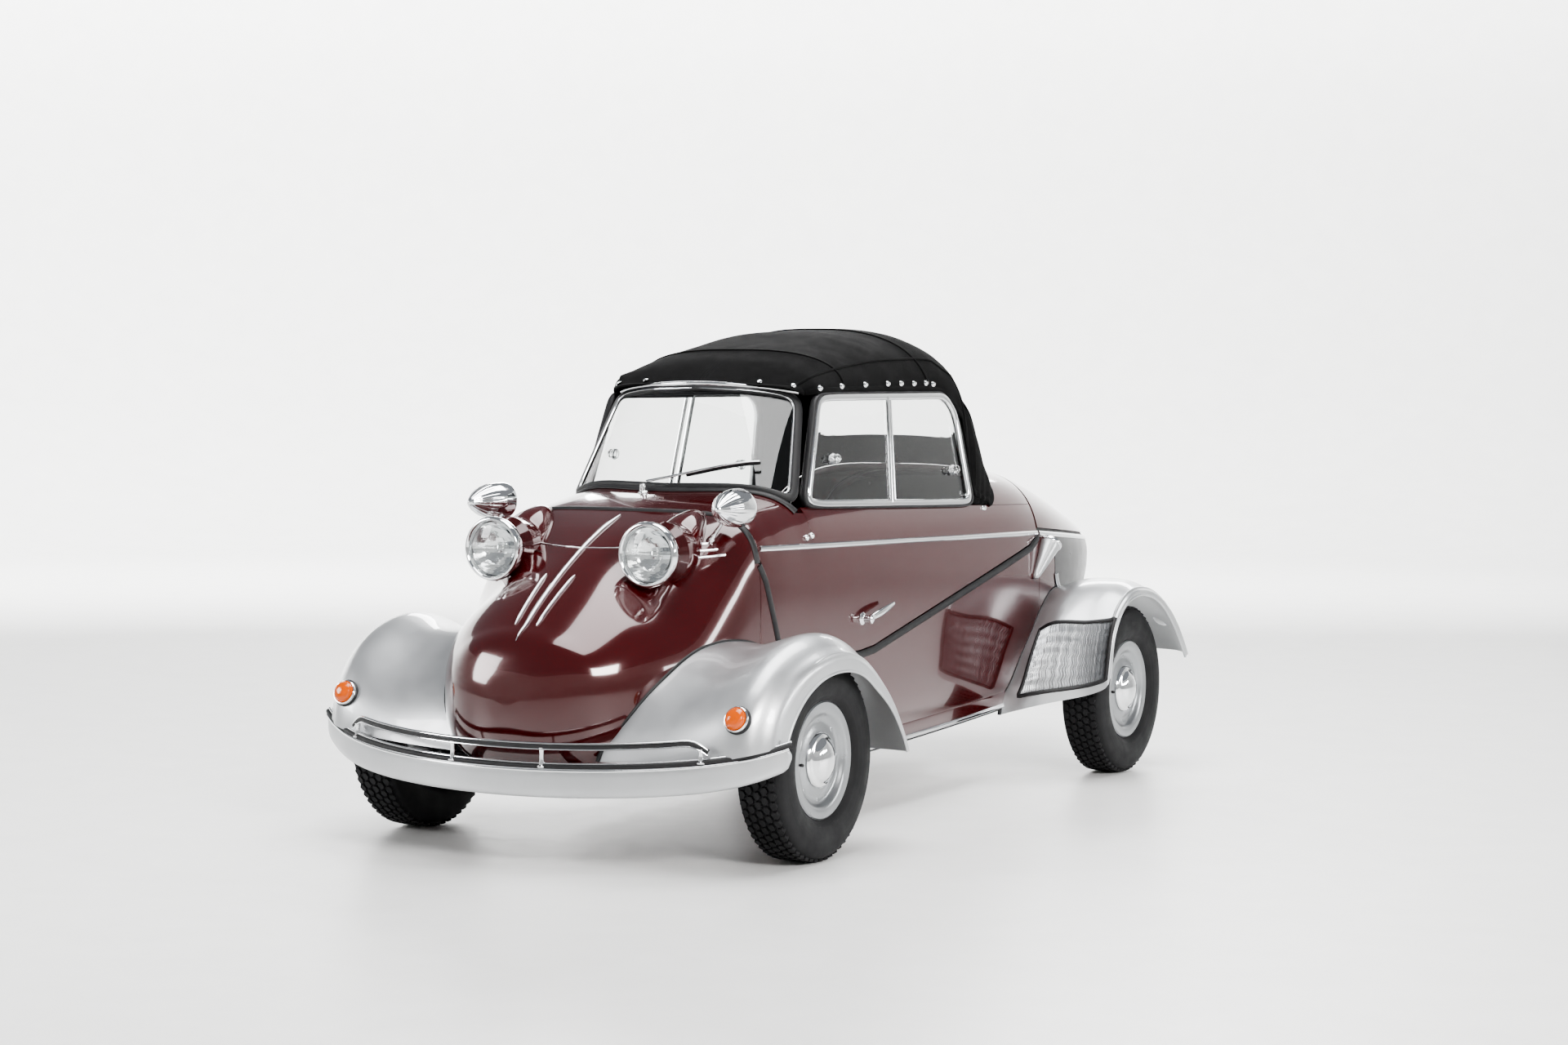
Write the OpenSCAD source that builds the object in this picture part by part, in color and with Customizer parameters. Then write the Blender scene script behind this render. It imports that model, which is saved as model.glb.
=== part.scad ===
// Bubble car: a narrow tandem two-seater on four wheels with separate mudguards.
// Millimetres. Front of the car toward -Y, its left side toward +X, Z up, ground at Z = 0.
// The origin is the middle of the car's outline, on the ground.

/* [Car] */
// Distance between the front and rear axles
wheelbase = 1890; // [1700:10:2300]
// From the front axle forward to the bumper
front_overhang = 500; // [490:10:620]
// From the rear axle back to the tail
rear_overhang = 610; // [520:10:800]
// Width over the mudguards
car_width = 1312; // [1300:2:1600]
// Width of the body at its widest
body_width = 758; // [660:2:780]

/* [Wheels] */
// Radius of the tyres
tyre_radius = 243; // [200:1:292]
// Width of the tyres
tyre_width = 130; // [100:1:136]
// Distance between the front wheels, centre to centre
front_track = 1110; // [1100:2:1140]
// Distance between the rear wheels, centre to centre
rear_track = 1090; // [1070:2:1120]
// Radius of the rim inside the tyre
rim_radius = 120; // [100:1:135]
// Radius of the stub axles
stub_radius = 12; // [10:0.5:15]
// Radius of the kingpins
kingpin_radius = 10; // [8:0.5:13]

/* [Body] */
// Thickness of the body walls and lids
wall = 16; // [10:1:20]
// Thickness of the mudguards
guard_wall = 6; // [4:0.5:8]
// Thickness of the window glass
glass_thick = 4; // [3:0.5:6]
// Thickness of the folding top with its lining
hood_thick = 12; // [8:1:16]
// Width of the window frames
frame_width = 22; // [16:1:30]
// Gap round the canopy and the tail lid
lid_gap = 6; // [5:0.5:9]
// Height of the belt above the axles, at the front of the canopy
belt_front = 497; // [480:1:510]
// Height of the belt above the axles, at the back of the canopy
belt_rear = 462; // [440:1:480]
// Height of the window tops above the axles
window_top = 862; // [800:1:940]
// Height of the folding top's crown above the axles
hood_crown = 1037; // [980:1:1130]

/* [Lamps and fittings] */
// Radius of the headlight bezels
headlight_radius = 79; // [70:1:84]
// Distance between the headlights, centre to centre
headlight_spacing = 444; // [430:2:470]
// Radius of the turn signals
signal_radius = 33; // [26:1:38]
// Height of the bumper blade
bumper_height = 72; // [60:1:90]
// Radius of the hole in the tow eye
tow_hole_radius = 12; // [9:0.5:14]
// Radius of the hinge pins
pin_radius = 4; // [3:0.5:5]

/* [Hidden] */
$fn = 64;

silver = [0.72, 0.73, 0.73];
maroon = [0.36, 0.05, 0.08];
chrome = [0.85, 0.86, 0.88];
black = [0.08, 0.08, 0.09];
clear = [0.75, 0.85, 0.88, 0.4];
amber = [0.95, 0.5, 0.08];

// Where the big pieces lie along the car
car_length = front_overhang + wheelbase + rear_overhang;
front_y = -car_length / 2;
tail_y = car_length / 2;
front_axle_y = front_y + front_overhang;
rear_axle_y = front_axle_y + wheelbase;
axle_z = tyre_radius;
nose_y = front_axle_y - 450;
canopy_front_y = front_axle_y + 100;
screen_mid_y = front_axle_y + 265;
screen_corner_y = front_axle_y + 381;
screen_foot_y = front_axle_y + 350;
tail_joint_y = rear_axle_y - 145;
canopy_end_y = tail_joint_y - lid_gap;
shroud_y = rear_axle_y - 20;
tail_taper_y = rear_axle_y - 390;
nose_taper_y = front_axle_y + 250;
half_width = body_width / 2;
guard_x = car_width / 2;
// Pieces that rest on each other without being one
seat_gap = 0.3;
// How far the flats of the body's panels lie inside its curves
flat_sag = 1;

// ---- Curves ----

// A power that keeps the sign
function spow(v, e) = sign(v) * pow(abs(v), e);

// Height of a smooth curve through the knots k, each [x, height], at x
function knot_slope(k, i) =
  let (a = max(i - 1, 0), b = min(i + 1, len(k) - 1))
  (k[b].y - k[a].y) / (k[b].x - k[a].x);
function curve(x, k) =
  let (
    last = len(k) - 1,
    u = min(max(x, k[0].x), k[last].x),
    i = max([for (n = [0 : last - 1]) if (u >= k[n].x) n]),
    span = k[i + 1].x - k[i].x,
    t = (u - k[i].x) / span,
    a = knot_slope(k, i) * span,
    b = knot_slope(k, i + 1) * span
  )
  (2 * t ^ 3 - 3 * t ^ 2 + 1) * k[i].y + (t ^ 3 - 2 * t ^ 2 + t) * a
    + (3 * t ^ 2 - 2 * t ^ 3) * k[i + 1].y + (t ^ 3 - t ^ 2) * b;

// Knots measured back from the nose or forward from the tail end, as knots along Y
function from_nose(k) = [for (p = k) [nose_y + p.x, p.y]];
function from_tail(k) = [for (p = k) [tail_y - p.x, p.y]];

// ---- The shape of the body: superellipse sections along Y, heights above the axles ----

top_knots = concat(
  from_nose([
    [0, 150], [12, 207], [46, 286], [91, 324], [143, 367], [213, 417], [285, 462],
    [357, 502], [450, 544], [590, 590], [741, 624], [865, 642]
  ]),
  [[tail_taper_y - 300, 655], [tail_taper_y, 655]],
  from_tail([[755, 642], [440, 575], [140, 492], [40, 450], [0, 430]])
);
wide_knots = concat(
  from_nose([[0, 150], [250, 187], [550, 227], [750, 257]]),
  [[tail_taper_y, 257]],
  from_tail([[755, 277], [300, 350], [0, 392]])
);
bottom_knots = concat(
  from_nose([[0, 107], [20, 60], [60, 37], [130, 10], [250, -33], [550, -68], [900, -78]]),
  [[tail_taper_y, -40]],
  from_tail([[755, -8], [500, 67], [200, 207], [40, 312], [0, 358]])
);
roof_power_knots = concat(
  from_nose([[0, 2.4], [200, 2.1], [330, 2.1], [450, 3.6], [530, 5.6], [640, 5], [800, 4.4]]),
  [[tail_taper_y, 4]],
  from_tail([[755, 3.6], [300, 2.4], [0, 2.2]])
);
floor_power_knots = concat(
  from_nose([[0, 3], [250, 4], [550, 5], [760, 7.5]]),
  from_tail([[870, 7.5], [740, 5], [300, 3], [0, 2.4]])
);

function top_z(y) = axle_z + curve(y, top_knots);
function wide_z(y) = axle_z + curve(y, wide_knots);
function bottom_z(y) = axle_z + curve(y, bottom_knots);
function roof_power(y) = curve(y, roof_power_knots);
function floor_power(y) = curve(y, floor_power_knots);
function taper(s, e) = pow(max(0, 1 - pow(max(0, s), e)), 1 / e);
function half_w(y) = half_width
  * taper((nose_taper_y - y) / (nose_taper_y - nose_y), 2.5)
  * taper((y - tail_taper_y) / (tail_y - tail_taper_y), 2.75);

// Point of the section at y, at angle a from the widest place, moved in by t
function section(y, a, t = 0) =
  let (up = sin(a) >= 0, e = 2 / (up ? roof_power(y) : floor_power(y)))
  [
    (half_w(y) - t) * spow(cos(a), e), y,
    wide_z(y) + (up ? top_z(y) - wide_z(y) - t : wide_z(y) - bottom_z(y) - t) * spow(sin(a), e)
  ];
// Angle of the section point on the left at height z
function angle_at(y, z) =
  z >= wide_z(y)
  ? asin(min(1, pow((z - wide_z(y)) / (top_z(y) - wide_z(y)), roof_power(y) / 2)))
  : -asin(min(1, pow((wide_z(y) - z) / (wide_z(y) - bottom_z(y)), floor_power(y) / 2)));
// Half width at height z, and height of the upper side at x
function x_at(y, z) = section(y, angle_at(y, z)).x;
function z_on(y, x) =
  let (p = roof_power(y))
  wide_z(y) + (top_z(y) - wide_z(y)) * pow(max(0, 1 - pow(abs(x) / half_w(y), p)), 1 / p);

// Height of the floor inside the walls at x
function floor_on(y, x) =
  let (p = floor_power(y))
  wide_z(y) - (wide_z(y) - bottom_z(y) - wall)
    * pow(max(0, 1 - pow(abs(x) / (half_w(y) - wall), p)), 1 / p);
// Highest floor under a rectangle
function floor_under(y, length, x) =
  max([for (v = [0, 0.25, 0.5, 0.75, 1]) floor_on(y + v * length, x)]) + seat_gap;

// ---- The lines where the panels part ----

function mix(a, b, t) = a + (b - a) * t;
// The belt, from the front of the canopy to the tail end
function belt_z(y) = axle_z + (y < tail_joint_y
  ? mix(belt_front, belt_rear, (y - canopy_front_y) / (tail_joint_y - canopy_front_y))
  : mix(belt_rear, belt_rear - 58, (y - tail_joint_y) / (tail_y - tail_joint_y)));
// The window sills
function sill_z(y) = axle_z + mix(579, 537, (y + 600) / 1345);
// The lower edge of the door in the left side: down, along and up again
door_foot = 197;
door_knee_y = front_axle_y + 212;
door_heel_y = front_axle_y + 700;
function door_z(y) = axle_z + lookup(y, [
  [canopy_front_y, belt_front - 40], [canopy_front_y + 24, belt_front - 80],
  [door_knee_y - 22, door_foot + 52], [door_knee_y, door_foot + 10], [door_knee_y + 30, door_foot],
  [door_heel_y - 80, door_foot], [door_heel_y, door_foot + 8],
  [tail_joint_y - 60, 420], [tail_joint_y, belt_rear - 14]
]);
// The same edge raised by the gap, measured across its slope
function door_low_z(y) = lid_gap + max([for (d = [-1, -0.5, 0, 0.5, 1]) door_z(y + d * lid_gap)]);

// ---- Panels ----

function unit(v) = v / max(norm(v), 0.0001);
function grid_normal(g, i, j) = unit(cross(
  g[min(i + 1, len(g) - 1)][j] - g[max(i - 1, 0)][j],
  g[i][min(j + 1, len(g[0]) - 1)] - g[i][max(j - 1, 0)]
));
// A grid moved in by t, toward the side on which the point inside lies
function inset(g, t, inside) =
  let (
    a = floor(len(g) / 2), b = floor(len(g[0]) / 2),
    way = sign((g[a][b] - inside) * grid_normal(g, a, b))
  )
  [for (i = [0 : len(g) - 1]) [for (j = [0 : len(g[0]) - 1]) g[i][j] - way * t * grid_normal(g, i, j)]];
function flat(g) = [for (row = g) each row];
function turned(faces, turn) = [for (f = faces) turn ? [f[2], f[1], f[0]] : f];

// Closed solid between two grids; keep(i, j) says which cells it has
module panel(outer, inner, keep = function(i, j) true) {
  m = len(outer);
  n = len(outer[0]);
  function o(i, j) = i * n + j;
  function q(i, j) = m * n + i * n + j;
  function has(i, j) = i >= 0 && j >= 0 && i < m - 1 && j < n - 1 && keep(i, j);
  function rim(a, b, c, d) = [[a, b, c], [a, c, d]];
  faces = [for (i = [0 : m - 2], j = [0 : n - 2]) if (has(i, j)) each concat(
    rim(o(i, j), o(i + 1, j), o(i + 1, j + 1), o(i, j + 1)),
    rim(q(i, j), q(i, j + 1), q(i + 1, j + 1), q(i + 1, j)),
    has(i - 1, j) ? [] : rim(o(i, j), o(i, j + 1), q(i, j + 1), q(i, j)),
    has(i + 1, j) ? [] : rim(o(i + 1, j + 1), o(i + 1, j), q(i + 1, j), q(i + 1, j + 1)),
    has(i, j - 1) ? [] : rim(o(i + 1, j), o(i, j), q(i, j), q(i + 1, j)),
    has(i, j + 1) ? [] : rim(o(i, j + 1), o(i + 1, j + 1), q(i + 1, j + 1), q(i, j + 1))
  )];
  a = floor(m / 2);
  b = floor(n / 2);
  along_m = outer[a + (a < m - 1 ? 1 : -1)][b] - outer[a][b];
  along_n = outer[a][b + (b < n - 1 ? 1 : -1)] - outer[a][b];
  way = cross(along_m, along_n) * (outer[a][b] - inner[a][b]) * ((a < m - 1) == (b < n - 1) ? 1 : -1);
  polyhedron(concat(flat(outer), flat(inner)), turned(faces, way > 0), 4);
}
// Panel of even thickness
module skin(grid, t, inside, keep = function(i, j) true) panel(grid, inset(grid, t, inside), keep);

// Faces of a closed tube of rings, its first ring at index first
function tube_faces(m, n, first) = [for (i = [0 : m - 2], j = [0 : n - 1]) each let (
  k = (j + 1) % n, a = first + i * n + j, b = first + i * n + k, c = a + n, d = b + n
) [[a, c, d], [a, d, b]]];
function fan(n, first, tip) = [for (j = [0 : n - 1]) [first + j, first + (j + 1) % n, tip]];
function middle(ring) = [for (s = ring) 1] * ring / len(ring);

// Whether rings turn left about the way they run
function left_handed(rings) =
  let (r = rings[0], c = middle(r), n = len(r))
  cross(r[0] - c, r[floor(n / 4)] - c) * (middle(rings[len(rings) - 1]) - c) > 0;

// Solid through closed rings
module loft(rings) {
  m = len(rings);
  n = len(rings[0]);
  polyhedron(
    concat(flat(rings), [middle(rings[0]), middle(rings[m - 1])]),
    turned(
      concat(tube_faces(m, n, 0), fan(n, 0, m * n), turned(fan(n, (m - 1) * n, m * n + 1), true)),
      !left_handed(rings)
    ), 4
  );
}
// Loft that is hollow and open at its last ring
module cup(outer, inner) {
  m = len(outer);
  n = len(outer[0]);
  polyhedron(
    concat(flat(outer), flat(inner), [middle(outer[0]), middle(inner[0])]),
    turned(concat(
      tube_faces(m, n, 0), fan(n, 0, 2 * m * n),
      turned(tube_faces(m, n, m * n), true), turned(fan(n, m * n, 2 * m * n + 1), true),
      turned([for (j = [0 : n - 1]) each let (a = (m - 1) * n + j, b = (m - 1) * n + (j + 1) % n)
        [[a, b, b + m * n], [a, b + m * n, a + m * n]]], true)
    ), !left_handed(outer)), 4
  );
}
// Evenly spaced values, ends included
function steps(a, b, n) = [for (i = [0 : n]) mix(a, b, i / n)];
module both_sides() {
  children();
  mirror([1, 0, 0]) children();
}
// The first child, cut to fit against the second
module against() difference() {
  children(0);
  children(1);
}

// ---- Fixed body ----

ring_sides = 32;
module nose_panel() color(maroon)
  let (
    back = canopy_front_y - nose_y,
    // Measured back from the nose tip
    at = [3, 12, 28, 50, 90, 150, 230, 320, 430, back],
    ring = function(d, t)
      [for (k = [0 : ring_sides - 1]) section(nose_y + d, 360 * (k + 0.5) / ring_sides, t)]
  )
  cup(
    [for (d = at) ring(d, 0)],
    [for (d = at) ring(3 + 2 * wall + (d - 3) * (back - 3 - 2 * wall) / (back - 3), wall)]
  );

module body_tub() color(maroon)
  let (
    ys = concat(
      [canopy_front_y, canopy_front_y + 24, door_knee_y - 54, door_knee_y - 22],
      [door_knee_y, door_knee_y + 30],
      steps(door_knee_y + 100, door_heel_y - 80, 3),
      [door_heel_y], steps(door_heel_y + 120, tail_joint_y - 60, 6), [tail_joint_y]
    ),
    grid = function(t) [for (y = ys)
      let (left = angle_at(y, door_z(y)), right = -180 - angle_at(y, belt_z(y)))
      [for (a = steps(0, 1, 22)) section(y, mix(left, right, a), t)]]
  )
  panel(grid(0), grid(wall));

// Stations of the tail, measured forward from its end, and their place once the end is cut back
tail_length = tail_y - tail_joint_y;
tail_cut = 4;
function tail_station(d, cut, length) = tail_y - cut - (d - tail_cut) * (length - cut) / (length - tail_cut);
function lower_tail(at, t, cut, length) = [for (d = at)
  let (
    y = tail_station(d, cut, length),
    left = angle_at(y, belt_z(y)), right = -180 - left
  )
  [for (a = steps(0, 1, 20)) section(y, mix(left, right, a), t)]];
shroud_length = tail_y - shroud_y;

module rear_body() color(maroon)
  let (at = steps(tail_length, shroud_length + seat_gap, 2))
  panel(lower_tail(at, 0, tail_cut, tail_length), lower_tail(at, wall, tail_cut, tail_length));

// The rounded cover under the engine
module engine_shroud() color(black)
  let (at = concat(steps(shroud_length, 330, 3), [230, 150, 90, 45, 18, tail_cut]))
  panel(lower_tail(at, 0, tail_cut, shroud_length), lower_tail(at, wall, 2 * wall, shroud_length));

// The wall between the seats and the engine
bulkhead_y = tail_joint_y + lid_gap;
bulkhead_thick = 16;
bulkhead_gap = lid_gap + 4;
module rear_bulkhead() color(black)
  loft([for (y = [bulkhead_y, bulkhead_y + bulkhead_thick])
    [for (k = [0 : ring_sides - 1])
      let (
        a = 360 * (k + 0.5) / ring_sides,
        under = section(y, a, wall + flat_sag + seat_gap), over = section(y, a, wall + bulkhead_gap)
      )
      under.z > belt_z(y) - bulkhead_gap ? over : under]]);

lid_hinge_x = 120;
knuckle_radius = 7;
knuckle_half = 14;
lid_notch = [2 * knuckle_half + 2 * lid_gap, bulkhead_thick + 2 * lid_gap + 6, 3 * wall];
module tail_lid() color(maroon)
  let (
    length = tail_length - lid_gap,
    at = [length, length - 105, length - 215, length - 325, 330, 230, 150, 90, 45, 18, tail_cut],
    grid = function(t, cut) [for (d = at)
      let (
        y = tail_station(d, cut, length),
        left = angle_at(y, belt_z(y) + lid_gap + 3), right = 180 - left
      )
      [for (a = steps(0, 1, 16)) section(y, mix(left, right, a), t)]]
  )
  difference() {
    panel(grid(0, tail_cut), grid(wall, 2 * wall));
    for (s = [-1, 1])
      translate([s * lid_hinge_x - lid_notch.x / 2, tail_joint_y, top_z(tail_joint_y) - 2 * wall])
        cube(lid_notch);
  }

// ---- Hinges of the canopy and the tail lid ----

// Each hinge: a middle knuckle with its pin on the body, and two outer knuckles on what moves
leaf_thick = 4;
pin_play = 0.1;
knuckle_play = 0.5;
outer_length = 14;
lid_axis_y = bulkhead_y + 8;
lid_axis_z = top_z(tail_joint_y) + knuckle_radius + 1;
canopy_axis_x = -(half_width + 16);
canopy_axis_z = axle_z + 458;
canopy_hinge_ys = [front_axle_y + 650, rear_axle_y - 500];
// Middle knuckle and pin along Z, about the origin
module inner_knuckle() {
  cylinder(r = knuckle_radius, h = 2 * knuckle_half, center = true);
  cylinder(r = pin_radius, h = 2 * (knuckle_half + knuckle_play + outer_length) + 4, center = true);
}
// What turns on the pin
module outer_knuckles() for (s = [-1, 1])
  translate([0, 0, s * (knuckle_half + knuckle_play + outer_length / 2)]) difference() {
    union() {
      cylinder(r = knuckle_radius, h = outer_length, center = true);
      children();
    }
    cylinder(r = pin_radius + pin_play, h = 2 * outer_length, center = true);
  }
module hinge_brackets() color(black) {
  post_z = section(bulkhead_y, 90 - 180 / ring_sides, wall + bulkhead_gap).z - flat_sag + seat_gap;
  for (s = [-1, 1]) translate([s * lid_hinge_x, 0, 0]) {
    translate([-knuckle_half, bulkhead_y + 1, post_z]) cube([2 * knuckle_half, 14, lid_axis_z - post_z]);
    translate([0, lid_axis_y, lid_axis_z]) rotate([0, 90, 0]) inner_knuckle();
  }
  for (y = canopy_hinge_ys) translate([0, y, 0]) {
    skin_x = x_at(y, canopy_axis_z - 34) + seat_gap;
    translate([canopy_axis_x, 0, canopy_axis_z]) rotate([90, 0, 0]) inner_knuckle();
    translate([canopy_axis_x - leaf_thick / 2, -knuckle_half, canopy_axis_z - 30])
      cube([leaf_thick, 2 * knuckle_half, 30]);
    translate([canopy_axis_x - leaf_thick / 2, -knuckle_half, canopy_axis_z - 34])
      cube([-skin_x - canopy_axis_x + leaf_thick / 2, 2 * knuckle_half, leaf_thick]);
  }
}
module canopy_hinge_leaves() color(black) for (y = canopy_hinge_ys) translate([0, y, 0]) {
  rise = belt_z(y) + lid_gap + 16 - canopy_axis_z;
  skin_x = x_at(y, canopy_axis_z + rise) + seat_gap;
  translate([canopy_axis_x, 0, canopy_axis_z]) rotate([90, 0, 0]) outer_knuckles()
    translate([-leaf_thick / 2, 0, -outer_length / 2]) cube([leaf_thick, rise, outer_length]);
  half = knuckle_half + knuckle_play + outer_length;
  translate([canopy_axis_x - leaf_thick / 2, -half, canopy_axis_z + rise])
    cube([-skin_x - canopy_axis_x + leaf_thick / 2, 2 * half, leaf_thick]);
}
module lid_hinge_leaves() color(black) for (s = [-1, 1]) translate([s * lid_hinge_x, 0, 0]) {
  reach = lid_notch.y - lid_axis_y + tail_joint_y + 2;
  foot_y = lid_axis_y + reach;
  foot_z = z_on(foot_y, lid_hinge_x - knuckle_half - outer_length) - flat_sag + seat_gap;
  translate([0, lid_axis_y, lid_axis_z]) rotate([0, 90, 0]) outer_knuckles()
    translate([knuckle_radius - 3, 0, -outer_length / 2]) cube([3, reach, outer_length]);
  translate([-knuckle_half - knuckle_play - outer_length, foot_y, foot_z])
    cube([2 * (knuckle_half + knuckle_play + outer_length), 14, lid_axis_z - knuckle_radius + 3 - foot_z]);
}

// ---- Mudguards: a profile across the wheel, carried round the wheel's axis ----

// Knots of the profile at angle a round the wheel from straight ahead, each [x, radius]
function guard_profile(a, wheel_y, tuck, root, valley, crown, edge, lip) =
  let (
    r = curve(a, root), y = wheel_y - r * cos(a),
    root_x = x_at(y, max(axle_z + r * sin(a), bottom_z(y) + 45)) + seat_gap,
    out_x = guard_x - tuck * max(0, cos(a)) ^ 2
  )
  [
    [root_x, r],
    [mix(root_x, out_x, 0.35), curve(a, valley)],
    [out_x - 80, curve(a, crown)],
    [out_x - 22, curve(a, edge)],
    [out_x - 1, mix(curve(a, edge), curve(a, lip), 0.4)],
    [out_x, curve(a, lip)]
  ];
function along(k, t) = let (n = len(k) - 1, u = t * n) [
  curve(u, [for (i = [0 : n]) [i, k[i].x]]), curve(u, [for (i = [0 : n]) [i, k[i].y]])
];
function guard_point(a, t, wheel_y, profile) = let (p = along(profile(a), t))
  [p.x, wheel_y - p.y * cos(a), axle_z + p.y * sin(a)];
function guard_inset(grid, wheel_y) = inset(grid, guard_wall, [guard_x - 80, wheel_y, axle_z]);

// Radii grow with the tyre
function over_tyre(k) = [for (p = k) [p.x, p.y + tyre_radius]];
front_guard = function(a) guard_profile(
  a, front_axle_y, 24,
  over_tyre([[-4, 132], [20, 96], [45, 62], [70, 42], [90, 30], [110, 28], [140, 34], [165, 84], [182, 124]]),
  over_tyre([[-4, 124], [20, 92], [45, 62], [70, 42], [90, 28], [110, 26], [140, 36], [165, 80], [182, 120]]),
  over_tyre([[-4, 98], [20, 104], [45, 88], [70, 68], [90, 60], [110, 58], [140, 64], [165, 94], [182, 124]]),
  over_tyre([[-4, 62], [20, 68], [45, 56], [70, 34], [90, 26], [110, 26], [140, 36], [165, 74], [182, 118]]),
  over_tyre([[-4, 4], [20, -4], [45, -12], [62, -19], [90, -28], [115, -22], [140, -6], [165, 46], [182, 96]])
);
rear_guard = function(a) guard_profile(
  a, rear_axle_y, 10,
  over_tyre([[-8, 140], [17, 62], [38, 22], [60, 26], [80, 44], [100, 48], [130, 90], [150, 114], [170, 134]]),
  over_tyre([[-8, 120], [20, 98], [45, 84], [65, 80], [90, 75], [120, 78], [150, 106], [170, 134]]),
  over_tyre([[-8, 50], [20, 54], [45, 78], [65, 84], [90, 76], [120, 70], [150, 100], [170, 130]]),
  over_tyre([[-8, 32], [20, 38], [45, 70], [65, 74], [90, 56], [120, 50], [150, 78], [170, 112]]),
  over_tyre([
    [-8, 22], [18, 20], [32, 41], [45, 56], [58, 60], [73, 48], [90, 32], [114, 19],
    [134, 18], [151, 31], [165, 58], [170, 72]
  ])
);
// The fine mesh panel in the front of the rear mudguard: its share of the way round, its place in the profile
// and its gap
mesh_span = [0.035, 0.25];
mesh_places = [0.1, 0.7];
mesh_gap = 0.7;
guard_end = 166;
guard_steps = steps(0, 1, 10);

// Angle at which the front mudguard meets the top of the bumper
function front_low(t) =
  let (p = along(front_guard(5), t))
  asin((bumper_top(p.x / bumper_reach) + seat_gap + guard_wall / 3 - axle_z) / p.y);
module front_fender() color(silver)
  let (grid = [for (f = steps(0, 1, 16)) [for (t = guard_steps)
    guard_point(mix(front_low(t), 182, f), t, front_axle_y, front_guard)]])
  against() {
    panel(grid, guard_inset(grid, front_axle_y));
    union() {
      nose_panel();
      body_tub();
    }
  }
// Rear mudguard at shares f of the way from its rising lower edge to its rear end
function rear_grid(fs, ts) = [for (f = fs) [for (t = ts)
  guard_point(mix(-8 + 20 * t, guard_end, f), t, rear_axle_y, rear_guard)]];
module rear_fender() color(silver)
  let (grid = rear_grid(concat([0], steps(mesh_span[0], mesh_span[1], 3), steps(0.32, 1, 9)), guard_steps))
  against() {
    panel(grid, guard_inset(grid, rear_axle_y), function(i, j) !(i >= 1 && i <= 3 && j >= 1 && j <= 6));
    union() {
      body_tub();
      engine_shroud();
    }
  }
module front_fender_left() front_fender();
module front_fender_right() against() {
  mirror([1, 0, 0]) front_fender();
  union() {
    nose_panel();
    body_tub();
  }
}
module rear_fender_left() rear_fender();
module rear_fender_right() against() {
  mirror([1, 0, 0]) rear_fender();
  union() {
    body_tub();
    engine_shroud();
  }
}
module fender_meshes() color([0.6, 0.6, 0.6]) both_sides()
  let (grid = rear_grid(
    steps(mesh_span[0] + mesh_gap / 700, mesh_span[1] - mesh_gap / 700, 3),
    steps(mesh_places[0] + mesh_gap / 200, mesh_places[1] - mesh_gap / 200, 6)
  ))
  panel(grid, guard_inset(grid, rear_axle_y));

// ---- Bumper and tow eye ----

bumper_reach = car_width / 2 + 2;
bumper_thick = 24;
// Middle of the bumper's section at share s of its reach, half its height there and its top edge
function bumper_point(s) = [
  s * bumper_reach, front_y + bumper_thick / 2 + 231 * pow(abs(s), 2.2),
  axle_z - 30 + 34 * s * s + 36 * pow(abs(s), 8)
];
function bumper_half(s) = bumper_height / 2 * (1 - 0.25 * pow(abs(s), 8));
function bumper_top(s) = bumper_point(s).z + bumper_half(s) * pow(sin(67.5), 0.6);
module front_bumper() color(silver) {
  loft([for (s = steps(-1, 1, 24))
    let (p = bumper_point(s), h = bumper_half(s))
    [for (a = [22.5 : 45 : 359])
      p + [0, bumper_thick / 2 * spow(cos(a), 0.7), h * spow(sin(a), 0.6)]]
  ]);
  for (s = [-1, 1]) translate([s * bracket_x - 15, bracket_front_y, axle_z - 40])
    cube([30, bracket_back_y - bracket_front_y, 30]);
}
bracket_x = 150;
bracket_front_y = bumper_point(bracket_x / bumper_reach).y + bumper_thick / 2 - 1;
// Where the nose reaches the brackets' height
nose_reach = [for (d = [60 : 5 : 200]) [-curve(nose_y + d, bottom_knots), d]];
bracket_back_y = nose_y + lookup(-10, nose_reach) - seat_gap;

// The thin rail over the bumper, with its two posts
rail_share = 0.76;
rail_radius = 7;
function rail_point(s) = bumper_point(s * rail_share) + [0, -2, bumper_height / 2 + 48];
module bumper_rail() color(chrome) {
  loft([for (s = steps(-1, 1, 20)) let (p = rail_point(s))
    [for (a = [22.5 : 45 : 359]) p + rail_radius * [0, cos(a), sin(a)]]]);
  for (s = [-0.25, 0.25, -0.97, 0.97]) let (p = rail_point(s), low = bumper_top(s * rail_share) + seat_gap)
    translate([p.x, p.y, low]) cylinder(r = 5, h = p.z - rail_radius - seat_gap - low);
}

tow_thick = 8;
tow_y = nose_y + 190;
tow_z = bottom_z(tow_y) - 30;
module tow_eye() color(chrome) difference() {
  union() {
    translate([-tow_thick / 2, tow_y - 20, tow_z])
      cube([tow_thick, 40, bottom_z(tow_y + 20) + flat_sag - tow_z]);
    translate([-tow_thick / 2, tow_y, tow_z]) rotate([0, 90, 0])
      cylinder(r = tow_hole_radius + 10, h = tow_thick);
  }
  translate([-tow_thick, tow_y, tow_z]) rotate([0, 90, 0]) cylinder(r = tow_hole_radius, h = 2 * tow_thick);
}

// ---- Lamps and fittings ----

light_x = headlight_spacing / 2;
light_y = front_axle_y - 176;
light_z = axle_z + 485;
light_depth = 64;
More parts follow.
